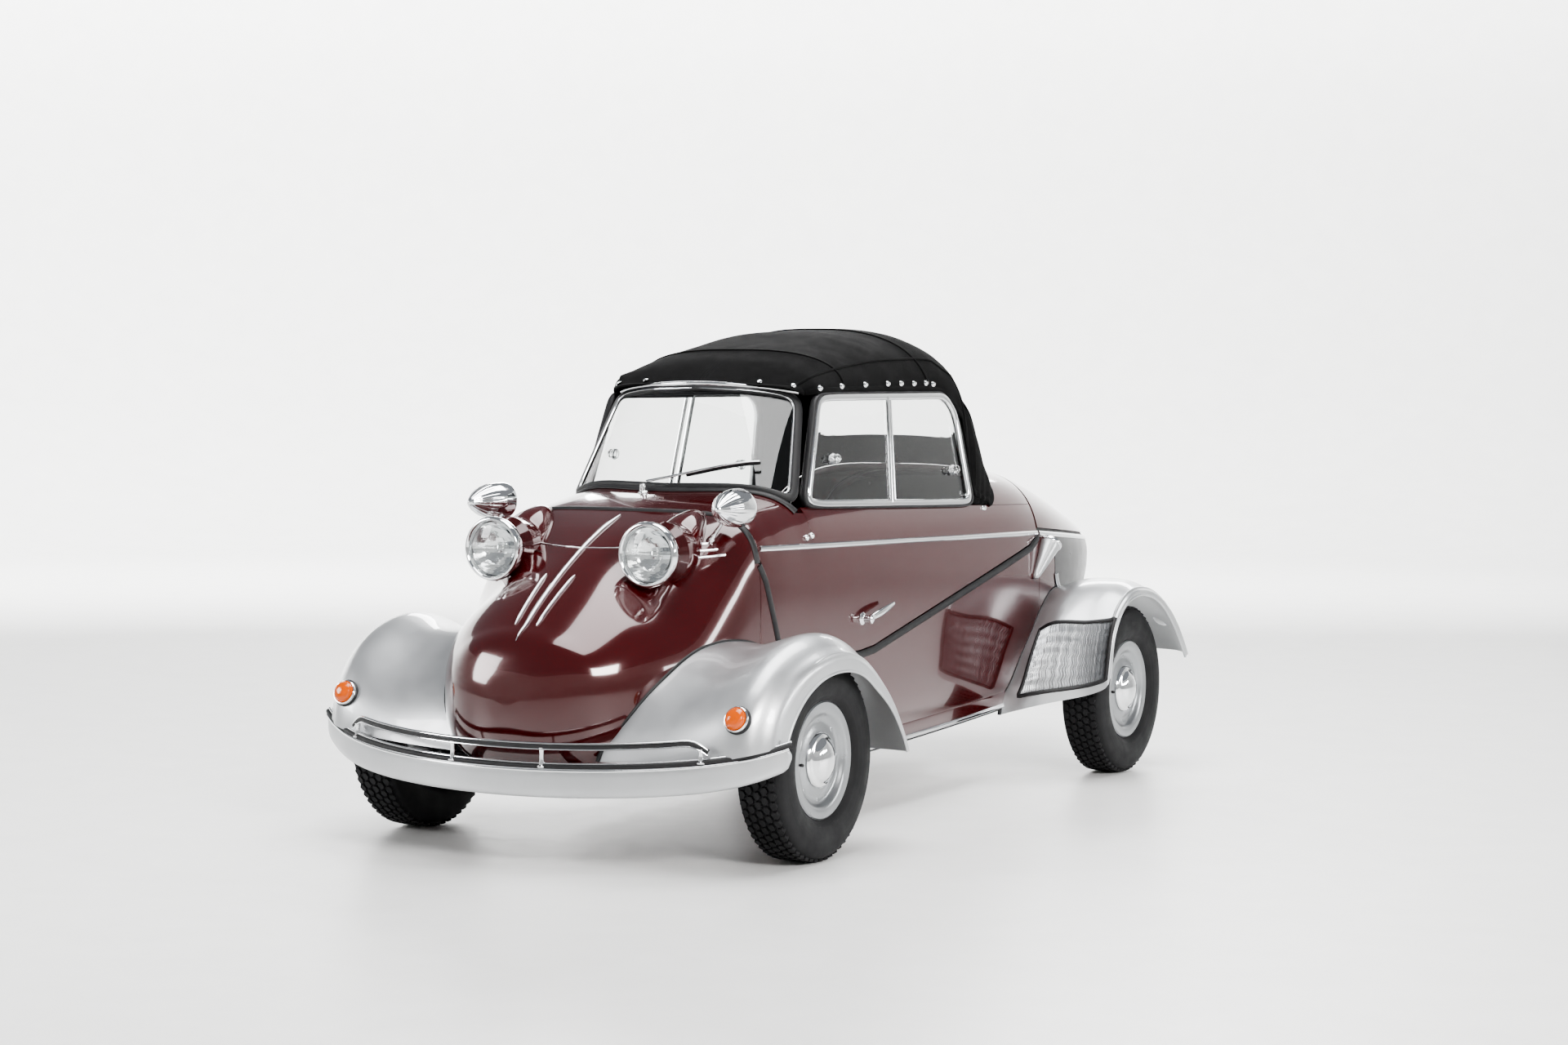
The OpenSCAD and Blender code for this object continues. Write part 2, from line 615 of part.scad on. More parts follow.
// Rings behind the lamp, each [distance back, share of its radius, share of the way down to the nose]
pod_rings = [
  [light_depth, 1, 0], [90, 0.97, 0.05], [120, 0.9, 0.15], [160, 0.74, 0.4], [205, 0.5, 0.75], [240, 0.25, 1]
];
module headlight_pods() color(maroon) against() {
  both_sides() loft([for (k = pod_rings) let (
      r = (headlight_radius - 2) * k[1], y = light_y + k[0],
      middle_z = max(mix(light_z, z_on(y, light_x), k[2]), z_on(y, light_x))
    )
    [for (a = [0 : 22.5 : 359]) let (x = light_x + r * cos(a), skin_z = z_on(y, x) + 0.5)
      [x, y, max(middle_z + r * sin(a), skin_z + (a > 180 ? 0 : 0.4 * r * max(0, sin(a))))]]]);
  nose_panel();
}
module headlights() color(chrome) both_sides()
  translate([light_x, light_y + light_depth - seat_gap, light_z]) rotate([90, 0, 0]) rotate_extrude()
    polygon([
      [0, 0], [headlight_radius - 35, 0], [headlight_radius - 23, 24], [headlight_radius - 13, 44],
      [headlight_radius - 1, 54], [headlight_radius, light_depth - 6],
      [headlight_radius - 5, light_depth], [headlight_radius - 12, light_depth - 6],
      [headlight_radius - 34, light_depth], [0, light_depth + 6]
    ]);

// Stands a lamp on a mudguard at angle a and place t of its profile, its axis along the radius
module on_guard(a, t, stand_off, wheel_y, profile)
  let (p = guard_point(a, t, wheel_y, profile))
  translate([p.x, p.y - stand_off * cos(a), p.z + stand_off * sin(a)]) rotate([90 - a, 0, 0]) children();
module turn_signals() color(amber) both_sides()
  on_guard(21, 0.4, 0.5, front_axle_y, front_guard) rotate_extrude()
    polygon([
      [0, 0], [signal_radius, 0], [signal_radius, 12], [signal_radius - 5, 15],
      [signal_radius - 12, 22], [0, 28]
    ]);
module tail_lamps() color([0.7, 0.05, 0.05]) both_sides()
  on_guard(146, 0.42, 4.2, rear_axle_y, rear_guard) rotate_extrude()
    polygon([[0, 0], [30, 0], [30, 14], [24, 20], [0, 24]]);

mirror_radius = 47;
mirror_foot = [285, front_axle_y + 12, z_on(front_axle_y + 12, 275) - 3 * flat_sag];
mirror_place = [349, front_axle_y, axle_z + 592];
module mirrors() color(chrome) both_sides() {
  translate(mirror_place) rotate([90, 0, 6]) rotate_extrude() polygon([
    [0, -50], [mirror_radius - 3, -50], [mirror_radius, -44], [mirror_radius, -20],
    [mirror_radius - 4, 20], [mirror_radius - 14, 56], [0, 86]
  ]);
  arm = mirror_place - mirror_foot;
  translate(mirror_foot) cylinder(r = 9, h = 8);
  translate(mirror_foot + [0, 0, 4]) rotate([0, atan2(norm([arm.x, arm.y]), arm.z - 4), atan2(arm.y, arm.x)])
    cylinder(r = 5, h = norm(arm) - mirror_radius + 12);
}

// Cones on the sides of the tail, small end low and forward, mouth high and rearward
scoop_low = [rear_axle_y - 190, axle_z + 328, 9];
scoop_high = [rear_axle_y - 105, axle_z + 422, 30];
module air_scoops() color(silver) both_sides() {
  low = [x_at(scoop_low.x, scoop_low.y) + scoop_low.z + 1, scoop_low.x, scoop_low.y];
  high = [x_at(scoop_high.x, scoop_high.y) + scoop_high.z + 1, scoop_high.x, scoop_high.y];
  way = high - low;
  length = norm(way);
  translate(low) rotate([0, acos(way.z / length), atan2(way.y, way.x)]) rotate_extrude() polygon([
    [0, 0], [scoop_low.z, 0], [scoop_high.z, length], [scoop_high.z, length + 8],
    [scoop_high.z - 3, length + 8], [scoop_high.z - 6, length], [scoop_low.z - 3, 12], [0, 12]
  ]);
}

// ---- Inside ----

module engine() color(black)
  translate([-190, rear_axle_y - 60, floor_under(rear_axle_y - 60, 300, 190)]) cube([380, 300, 230]);

// Cushion on a plinth that stands on the floor, with a backrest
module seat(y, length, seat_z, back_height, width) {
  floor_z = floor_under(y + 30, length - 60, width / 2 - 40) + flat_sag / 2;
  translate([-width / 2 + 40, y + 30, floor_z]) cube([width - 80, length - 60, seat_z - floor_z]);
  translate([-width / 2, y, seat_z]) cube([width, length, 110]);
  translate([-width / 2, y + length - 60, seat_z + 110]) rotate([-12, 0, 0]) cube([width, 90, back_height]);
}
module front_seat() color(black) against() {
  seat(front_axle_y + 690, 430, axle_z + 60, 360, 480);
  body_tub();
}
module rear_seat() color(black) against() {
  seat(front_axle_y + 1240, 400, axle_z + 120, 300, 520);
  body_tub();
}

dash_y = front_axle_y + 395;
dash_z = axle_z + 440;
column_radius = 18;
bracket_z = dash_z + 10;
module dashboard() color(black) {
  wall_x = x_at(dash_y, bracket_z + 24) - wall - 1.3 * flat_sag;
  translate([-260, dash_y, dash_z]) cube([520, 26, 90]);
  translate([-wall_x, dash_y, bracket_z]) cube([wall_x - 260, 26, 24]);
}

// The column runs forward and down to a box on the floor
column_tilt = -52;
column_length = 700;
hub_low = 19;
bar_y = dash_y + 130;
bar_z = axle_z + 470;
module column_frame() translate([0, bar_y, bar_z]) rotate([column_tilt, 0, 0]) children();
module steering_column() color(black) {
  box_y = bar_y + sin(column_tilt) * column_length - 40;
  box_z = bar_z - cos(column_tilt) * column_length;
  box_floor = floor_under(box_y, 90, 40) + flat_sag;
  column_frame() translate([0, 0, -column_length])
    cylinder(r = column_radius, h = column_length - hub_low - seat_gap);
  translate([-40, box_y, box_floor]) cube([80, 90, box_z + 20 - box_floor]);
}
module steering_bar() color(black) column_frame() {
  translate([0, 0, -hub_low]) cylinder(r = 26, h = 2 * hub_low + 2);
  translate([-190, 0, 8]) rotate([0, 90, 0]) cylinder(r = 12, h = 380);
}

// ---- Axles and wheels ----

kingpin_x = front_track / 2 - 50;
hub_x = 42;
arm_z = 56;
arm_half = [14, 8];
module front_arm() for (s = [-1, 1]) {
  arm_mid = axle_z + s * arm_z;
  root_x = max([for (d = [-1, 1]) x_at(front_axle_y + d * arm_half.x, arm_mid + arm_half.y)]) - flat_sag / 2;
  difference() {
    union() {
      translate([root_x, front_axle_y - arm_half.x, arm_mid - arm_half.y])
        cube([kingpin_x - root_x, 2 * arm_half.x, 2 * arm_half.y]);
      translate([kingpin_x, front_axle_y, arm_mid - arm_half.y]) cylinder(r = 20, h = 2 * arm_half.y);
    }
    translate([kingpin_x, front_axle_y, arm_mid - arm_half.y - 1])
      cylinder(r = kingpin_radius + 0.05, h = 2 * arm_half.y + 2);
  }
}
module front_axle() color(black) both_sides() front_arm();
module knuckle() {
  translate([kingpin_x, front_axle_y, axle_z - arm_z - 12]) cylinder(r = kingpin_radius, h = 2 * arm_z + 24);
  translate([kingpin_x, front_axle_y, axle_z - arm_z + 12]) cylinder(r = 22, h = 2 * arm_z - 24);
  translate([kingpin_x, front_axle_y, axle_z]) rotate([0, 90, 0])
    cylinder(r = stub_radius, h = front_track / 2 - kingpin_x + hub_x);
}
module knuckle_left() color(black) knuckle();
module knuckle_right() color(black) mirror([1, 0, 0]) knuckle();

// A tube from hub to hub under the tail, with two saddles up to the body
axle_tube = 26;
saddle = [60, 40];
saddle_x = 200;
module rear_axle() color(black) {
  inner = rear_track / 2 - 50;
  saddle_top = floor_on(rear_axle_y - saddle.y / 2, saddle_x - saddle.x / 2) - wall - seat_gap;
  for (s = [-1, 1])
    translate([s * saddle_x - saddle.x / 2, rear_axle_y - saddle.y / 2, axle_z])
      cube([saddle.x, saddle.y, saddle_top - axle_z]);
  translate([-inner, rear_axle_y, axle_z]) rotate([0, 90, 0]) cylinder(r = axle_tube, h = 2 * inner);
  translate([-inner - 50 - hub_x, rear_axle_y, axle_z]) rotate([0, 90, 0])
    cylinder(r = stub_radius, h = 2 * (inner + 50 + hub_x));
}

// Wheel about its own centre, its axle along X and its outer face toward +X
rim_half = 50;
module rim() color(silver) rotate([0, 90, 0]) rotate_extrude() polygon([
  [stub_radius + 0.05, -20], [44, -20], [44, 14], [84, 14], [rim_radius - 10, -4],
  [rim_radius - 6, -rim_half], [rim_radius + 20, -rim_half], [rim_radius + 22, -rim_half + 4],
  [rim_radius + 2, -rim_half + 6], [rim_radius, -rim_half + 8], [rim_radius, rim_half - 8],
  [rim_radius + 2, rim_half - 6], [rim_radius + 22, rim_half - 4], [rim_radius + 20, rim_half],
  [rim_radius - 8, rim_half - 2], [rim_radius - 26, 34], [72, 38], [66, 52], [40, 66], [0, 70],
  [0, hub_x + 4], [stub_radius + 0.05, hub_x + 4]
]);
module tyre() color(black) rotate([0, 90, 0])
  let (half = tyre_width / 2, r = tyre_radius, bead = rim_half - 8.4, seat = rim_radius + 0.2)
  rotate_extrude() polygon([
    [seat, -bead], [seat + 24, -bead], [mix(seat, r, 0.3), -half + 6], [mix(seat, r, 0.55), -half],
    [r - 20, -half + 4], [r - 8, -half + 13], [r - 2, -half + 26], [r, -half + 42],
    [r, half - 42], [r - 2, half - 26], [r - 8, half - 13], [r - 20, half - 4],
    [mix(seat, r, 0.55), half], [mix(seat, r, 0.3), half - 6], [seat + 24, bead], [seat, bead]
  ]);
module at_wheel(track, y, left) mirror([left ? 0 : 1, 0, 0]) translate([track / 2, y, axle_z]) children();
module tyre_front_left() at_wheel(front_track, front_axle_y, true) tyre();
module rim_front_left() at_wheel(front_track, front_axle_y, true) rim();
module tyre_front_right() at_wheel(front_track, front_axle_y, false) tyre();
module rim_front_right() at_wheel(front_track, front_axle_y, false) rim();
module tyre_rear_left() at_wheel(rear_track, rear_axle_y, true) tyre();
module rim_rear_left() at_wheel(rear_track, rear_axle_y, true) rim();
module tyre_rear_right() at_wheel(rear_track, rear_axle_y, false) tyre();
module rim_rear_right() at_wheel(rear_track, rear_axle_y, false) rim();

// ---- Canopy: everything that lifts over to the right ----

screen_half = 335;
screen_top_half = 274;
function screen_base_y(x) = screen_mid_y
  + (screen_foot_y - screen_mid_y) * min(1, (x / screen_half) ^ 2);
body_heart = [0, 0, axle_z + 300];

module canopy_cowl() color(maroon)
  let (
    y0 = canopy_front_y + lid_gap,
    half = [0, 0.25, 0.5, 0.75, 0.92, 1],
    xs = concat([for (i = [0 : 5]) -half[5 - i] * screen_half], [for (i = [1 : 5]) half[i] * screen_half]),
    // Shoulder column on side s, share k of the way out to the edge, which is gap above the belt
    shoulder = function(s, k, gap) [for (v = steps(0, 1, 4))
      let (y = mix(y0, screen_corner_y - 0.4, v), x = mix(screen_half, x_at(y, belt_z(y) + gap), k))
      [s * x, y, z_on(y, x)]],
    grid = concat(
      [for (k = [1, 0.5]) shoulder(-1, k, lid_gap)],
      [for (x = xs) [for (v = steps(0, 1, 4)) let (y = mix(y0, screen_base_y(x), v)) [x, y, z_on(y, x)]]],
      [for (k = [0.5, 1]) shoulder(1, k, 1)]
    )
  )
  against() {
    skin(grid, wall, [0, y0, axle_z + 300]);
    canopy_door();
  }

// The door in the left side, with the belt and the sill of the left window
module canopy_door() color(maroon)
  let (
    ys = concat(
      [canopy_front_y + lid_gap, canopy_front_y + 24, door_knee_y - 54, door_knee_y - 22],
      [door_knee_y, door_knee_y + 30],
      steps(door_knee_y + 80, screen_corner_y, 1), [screen_corner_y + 0.5],
      steps(screen_corner_y + 60, door_heel_y, 2),
      steps(door_heel_y + 120, tail_joint_y - 60, 6), [canopy_end_y]
    ),
    grid = [for (y = ys)
      let (high = y > screen_corner_y ? sill_z(y) : belt_z(y), low = min(door_low_z(y), high - 12))
      [for (v = steps(0, 1, 6)) section(y, angle_at(y, mix(low, high, v)))]]
  )
  skin(grid, wall, body_heart);

// The belt and the sill of the right window
module canopy_rail() color(maroon)
  let (grid = [for (y = steps(screen_corner_y + 0.5, canopy_end_y, 12))
    [for (v = steps(0, 1, 4)) let (p = section(y, angle_at(y, mix(belt_z(y) + lid_gap, sill_z(y), v))))
      [-p.x, p.y, p.z]]])
  skin(grid, wall, body_heart);

screen_rise = 3;
function screen_point(s, v) =
  let (
    x = screen_half * s, y = screen_base_y(x) + screen_rise,
    top = [screen_top_half * s, front_axle_y + 415 + 73 * s * s, axle_z + window_top + 20 - 23 * s * s]
  )
  mix([x, y, z_on(y, x) + screen_rise], top, v);
module screen_skin(ss, vs, t, keep = function(i, j) true)
  skin([for (s = ss) [for (v = vs) screen_point(s, v)]], t, [0, screen_corner_y + 200, axle_z + 700], keep);
screen_edge = frame_width / 300;
module windscreen_frame() color(black)
  screen_skin(
    concat([-0.985], steps(-0.92, 0.92, 14), [0.985]),
    concat([0], steps(screen_edge, 1 - screen_edge, 4), [1]),
    14, function(i, j) i == 0 || i == 15 || j == 0 || j == 5
  );
module windscreen() color(clear)
  screen_skin(steps(-0.915, 0.915, 14), steps(screen_edge + 0.004, 1 - screen_edge - 0.004, 4), glass_thick);

// The side windows: a ruled surface from the sill up to the window top
window_front_y = screen_corner_y + 10;
window_rear_y = rear_axle_y - 545;
window_top_x = 303;
window_corner = 110;
function window_top_z(y) = axle_z + window_top
  - window_corner * (1 - sqrt(max(0, 1 - (max(0, y - window_rear_y + 30 + window_corner) / window_corner) ^ 2)));
function window_point(a, b) =
  let (
    low_y = mix(window_front_y, window_rear_y, a), high_y = mix(window_front_y + 109, window_rear_y - 30, a),
    low = [x_at(low_y, sill_z(low_y) + 1), low_y, sill_z(low_y) + 1], top = window_top_z(high_y)
  )
  mix(low, [mix(low.x, window_top_x, (top - low.z) / (axle_z + window_top - low.z)), high_y, top], b);
window_edge = frame_width / 280;
window_ends = frame_width / 900;
module window_skin(as, bs, t, keep = function(i, j) true)
  skin([for (a = as) [for (b = bs) window_point(a, b)]], t, [0, 0, axle_z + 700], keep);
module window_frame()
  window_skin(
    concat([0], steps(window_ends, 0.5 - window_ends, 4), steps(0.5 + window_ends, 1 - window_ends, 8), [1]),
    [0, window_edge, 0.37, 0.64, 1 - window_edge, 1], 14,
    function(i, j) i == 0 || i == 5 || i == 14 || j == 0 || j == 4
  );
module window_frames() color(chrome) both_sides() window_frame();
module side_windows() color(clear) both_sides() for (pane = [0, 1])
  let (lift = pane == 0 ? window_ends : 0.5 + window_ends, n = pane == 0 ? 4 : 8,
    far = pane == 0 ? 0.5 - window_ends : 1 - window_ends)
  window_skin(
    steps(lift + 0.001, far - 0.001, n), steps(window_edge + 0.004, 1 - window_edge - 0.004, 3), glass_thick
  );

// The folding top: arches from the left edge over the crown to the right edge
hood_end_y = window_rear_y + 95;
hood_base = [
  [0, [screen_top_half + 4, window_front_y + 96, window_top + 3]],
  [0.08, [window_top_x + 2, window_front_y + 119, window_top + 3]],
  [0.45, [window_top_x + 2, window_rear_y - 180, window_top + 3]],
  [0.53, [window_top_x + 5, window_rear_y - 90, window_top - 10]],
  [0.6, [window_top_x + 20, window_rear_y - 8, window_top - 80]],
  [0.66, [window_top_x + 26, window_rear_y + 8, window_top - 190]],
  [0.7, [window_top_x + 30, window_rear_y + 14, window_top - 308]],
  [1, [window_top_x + 30, hood_end_y, window_top - 322]]
];
hood_crest = [
  [0, [0, window_front_y + 42, window_top + 24]], [0.12, [0, window_front_y + 164, hood_crown - 82]],
  [0.3, [0, window_front_y + 434, hood_crown - 18]], [0.45, [0, window_rear_y - 290, hood_crown]],
  [0.56, [0, window_rear_y - 145, hood_crown - 3]], [0.64, [0, window_rear_y - 5, hood_crown - 40]],
  [0.7, [0, window_rear_y + 75, hood_crown - 89]], [0.78, [0, window_rear_y + 125, hood_crown - 174]],
  [0.88, [0, window_rear_y + 150, hood_crown - 274]], [1, [0, window_rear_y + 215, 648]]
];
function track(k, table, n) = lookup(k, [for (p = table) [p[0], p[1][n]]]);
function hood_power(k) = lookup(k, [[0, 3], [0.4, 2.6], [0.8, 2.8], [1, 3]]);
// Point of the rib k of the top at angle a from its left foot; the last rib lies on the deck
function hood_point(k, a) =
  let (
    e = 2 / hood_power(k), c = spow(cos(a), e), s = spow(sin(a), e),
    low = [for (n = [0 : 2]) track(k, hood_base, n)], high = [for (n = [0 : 2]) track(k, hood_crest, n)],
    on_sill = k > 0.68,
    base_z = on_sill ? sill_z(low.y) - axle_z + 3 : low.z,
    y = mix(low.y, high.y, s),
    x = c * (on_sill ? x_at(low.y, sill_z(low.y)) - 1 : low.x)
  )
  [x, y, k < 1 ? axle_z + mix(base_z, high.z, s) : z_on(y, x) + 3];
hood_ribs = [0, 0.05, 0.12, 0.2, 0.3, 0.4, 0.5, 0.56, 0.62, 0.68, 0.73, 0.78, 0.84, 0.9, 0.95, 1];
hood_arc = [0, 12, 25, 38, 50, 62, 76, 90, 104, 118, 130, 142, 155, 168, 180];
module hood_skin(ks, as, t, keep = function(i, j) true)
  skin([for (k = ks) [for (a = as) hood_point(k, a)]], t, [0, 0, axle_z + 700], keep);
module soft_top() color(black) against() {
  hood_skin(hood_ribs, hood_arc, hood_thick, function(i, j) !(i >= 11 && i <= 12 && j >= 5 && j <= 8));
  union() {
    window_frames();
    canopy_door();
    canopy_rail();
    canopy_deck();
  }
}
module rear_window() color(clear)
  hood_skin([0.781, 0.84, 0.899], [62.4, 76, 90, 104, 117.6], glass_thick);

// The fixed deck between the folding top and the tail lid
module canopy_deck() color(maroon)
  let (grid = [for (a = hood_arc)
    let (
      e = 2 / hood_power(1), c = spow(cos(a), e), s = spow(sin(a), e),
      y0 = mix(hood_end_y, window_rear_y + 255, s) + seat_gap
    )
    [for (v = steps(0, 1, 4))
      let (y = mix(y0, canopy_end_y, v), x = c * (x_at(y, sill_z(y) + 1)))
      [x, y, z_on(y, x)]]])
  against() {
    skin(grid, wall, body_heart);
    union() {
      canopy_door();
      canopy_rail();
    }
  }

body_tub();
nose_panel();
rear_body();
engine_shroud();
rear_bulkhead();
tail_lid();
lid_hinge_leaves();
front_fender_left();
front_fender_right();
rear_fender_left();
rear_fender_right();
fender_meshes();
front_bumper();
bumper_rail();
tow_eye();
headlight_pods();
headlights();
turn_signals();
mirrors();
tail_lamps();
air_scoops();
engine();
front_seat();
rear_seat();
dashboard();
steering_column();
steering_bar();
front_axle();
rear_axle();
knuckle_left();
knuckle_right();
tyre_front_left();
rim_front_left();
tyre_front_right();
rim_front_right();
tyre_rear_left();
rim_rear_left();
tyre_rear_right();
rim_rear_right();
hinge_brackets();
canopy_hinge_leaves();
canopy_cowl();
canopy_door();
canopy_rail();
canopy_deck();
windscreen_frame();
windscreen();
window_frames();
side_windows();
soft_top();
rear_window();
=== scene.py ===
"""Looks of the bubble car, built round its packed construction in metres.

The body is a row of superellipse sections. Every panel, window and strip below is cut from that one shape,
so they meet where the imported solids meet. Sizes are in millimetres and become metres when a mesh is made.
"""

import logging
import math
from dataclasses import dataclass, field
from enum import Enum
from typing import Callable, Optional, Sequence

import bmesh
import bpy
import numpy as np
from mathutils import Matrix, Vector


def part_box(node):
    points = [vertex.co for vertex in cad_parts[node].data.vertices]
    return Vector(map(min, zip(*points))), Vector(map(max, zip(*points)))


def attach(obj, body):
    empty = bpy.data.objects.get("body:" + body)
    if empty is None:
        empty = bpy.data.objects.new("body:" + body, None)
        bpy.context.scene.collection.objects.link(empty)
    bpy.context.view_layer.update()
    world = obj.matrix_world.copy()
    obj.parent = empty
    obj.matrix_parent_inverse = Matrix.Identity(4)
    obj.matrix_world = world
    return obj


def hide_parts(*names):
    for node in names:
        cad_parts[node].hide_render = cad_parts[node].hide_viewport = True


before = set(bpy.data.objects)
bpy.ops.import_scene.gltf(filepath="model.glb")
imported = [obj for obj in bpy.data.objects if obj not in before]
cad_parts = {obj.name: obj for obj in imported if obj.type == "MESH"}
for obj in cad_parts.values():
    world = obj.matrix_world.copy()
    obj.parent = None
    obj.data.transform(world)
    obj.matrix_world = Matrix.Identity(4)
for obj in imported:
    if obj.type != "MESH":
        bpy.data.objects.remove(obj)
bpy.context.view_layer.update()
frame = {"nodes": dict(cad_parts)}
LOG = logging.getLogger("bubble_car")
Array = np.ndarray
Nodes, Links, Socket = bpy.types.Nodes, bpy.types.NodeLinks, bpy.types.NodeSocket
MM = 0.001


# ---- Curves and small numpy tools ----


def spow(v: Array, e: float) -> Array:
    """A power that keeps the sign of v."""
    return np.sign(v) * np.abs(v) ** e


def mix(a: Array, b: Array, t: Array) -> Array:
    """The value a share t of the way from a to b."""
    return a + (b - a) * t


def unit(v: Array) -> Array:
    """Vectors along the last axis, made one long."""
    return v / np.maximum(np.linalg.norm(v, axis=-1, keepdims=True), 1e-9)


def stack(x: Array, y: Array, z: Array) -> Array:
    """Points from three arrays that broadcast together."""
    return np.stack(np.broadcast_arrays(x, y, z), axis=-1).astype(float)


def outer_product(u: Array, v: Array) -> tuple[Array, Array]:
    """Two parameters as the rows and columns of a grid."""
    return np.meshgrid(u, v, indexing="ij")


def dense(values: Sequence[float], most: float) -> Array:
    """The values in order with evenly spaced ones between them.

    Args:
        values: Values that must be kept.
        most: The widest step left between two of them.

    Returns:
        All the values, from the first to the last.
    """
    pairs = zip(values[:-1], values[1:])
    out = [np.linspace(a, b, max(2, int(abs(b - a) / most) + 2))[:-1] for a, b in pairs]
    return np.concatenate([*out, [values[-1]]])


def hermite(t: Array) -> tuple[Array, Array, Array, Array]:
    """The cubic Hermite weights at share t: of the start's height and slope, then of the end's."""
    return 2 * t**3 - 3 * t**2 + 1, t**3 - 2 * t**2 + t, 3 * t**2 - 2 * t**3, t**3 - t**2


def distance_along(line: Array) -> Array:
    """How far along a line of points each of them lies."""
    return np.concatenate([[0], np.cumsum(np.linalg.norm(np.diff(line, axis=0), axis=1))])


class Curve:
    """A smooth curve through knots: cubic pieces whose slope at a knot is that of its neighbours' chord."""

    def __init__(self, knots: Sequence[Sequence[float]]) -> None:
        """Takes the knots, each a place and a height, in order."""
        table = np.asarray(knots, float)
        self.x, self.h = table[:, 0], table[:, 1]
        before = np.maximum(np.arange(len(table)) - 1, 0)
        after = np.minimum(np.arange(len(table)) + 1, len(table) - 1)
        self.slope = (self.h[after] - self.h[before]) / (self.x[after] - self.x[before])

    def __call__(self, x: Array) -> Array:
        """Height at x: the two knots' heights and slopes, blended by the cubic Hermite weights."""
        x = np.clip(np.asarray(x, float), self.x[0], self.x[-1])
        i = np.clip(np.searchsorted(self.x, x, side="right") - 1, 0, len(self.x) - 2)
        span = self.x[i + 1] - self.x[i]
        start, leave, end, arrive = hermite((x - self.x[i]) / span)
        return (start * self.h[i] + leave * span * self.slope[i]
                + end * self.h[i + 1] + arrive * span * self.slope[i + 1])


class Track:
    """Straight lines between knots, for several values at once."""

    def __init__(self, knots: Sequence[tuple[float, Sequence[float]]]) -> None:
        """Takes the knots, each a place and its values."""
        self.x = np.array([k[0] for k in knots], float)
        self.v = np.array([k[1] for k in knots], float)

    def __call__(self, x: Array) -> list[Array]:
        """Each value at x, by linear interpolation."""
        return [np.interp(x, self.x, self.v[:, n]) for n in range(self.v.shape[1])]


def grid_normals(grid: Array) -> Array:
    """Unit normals of a grid of points: the cross product of its two central differences."""
    return unit(np.cross(np.gradient(grid, axis=0), np.gradient(grid, axis=1)))


def inset(grid: Array, depth: float, inside: Sequence[float]) -> Array:
    """A grid moved by depth along its normals, toward the side on which a point lies.

    Args:
        grid: Points, rows by columns.
        depth: How far each point moves.
        inside: A point on the inner side.

    Returns:
        The moved points.
    """
    normal = grid_normals(grid)
    a, b = grid.shape[0] // 2, grid.shape[1] // 2
    way = np.sign(np.dot(grid[a, b] - np.asarray(inside, float), normal[a, b]))
    return grid - way * depth * normal


# ---- Finishes ----


class Pattern(Enum):
    """The fine structure of a finish."""

    PAINT = "smooth paint with a faint orange peel"
    METAL = "polished metal with hairline marks"
    BRUSHED = "metal with long fine scratches"
    RUBBER = "matt rubber or plastic"
    WEAVE = "plain woven cloth"
    LEATHER = "grained vinyl"
    CAST = "rough castings"
    CLEAR = "glass or a clear lens"


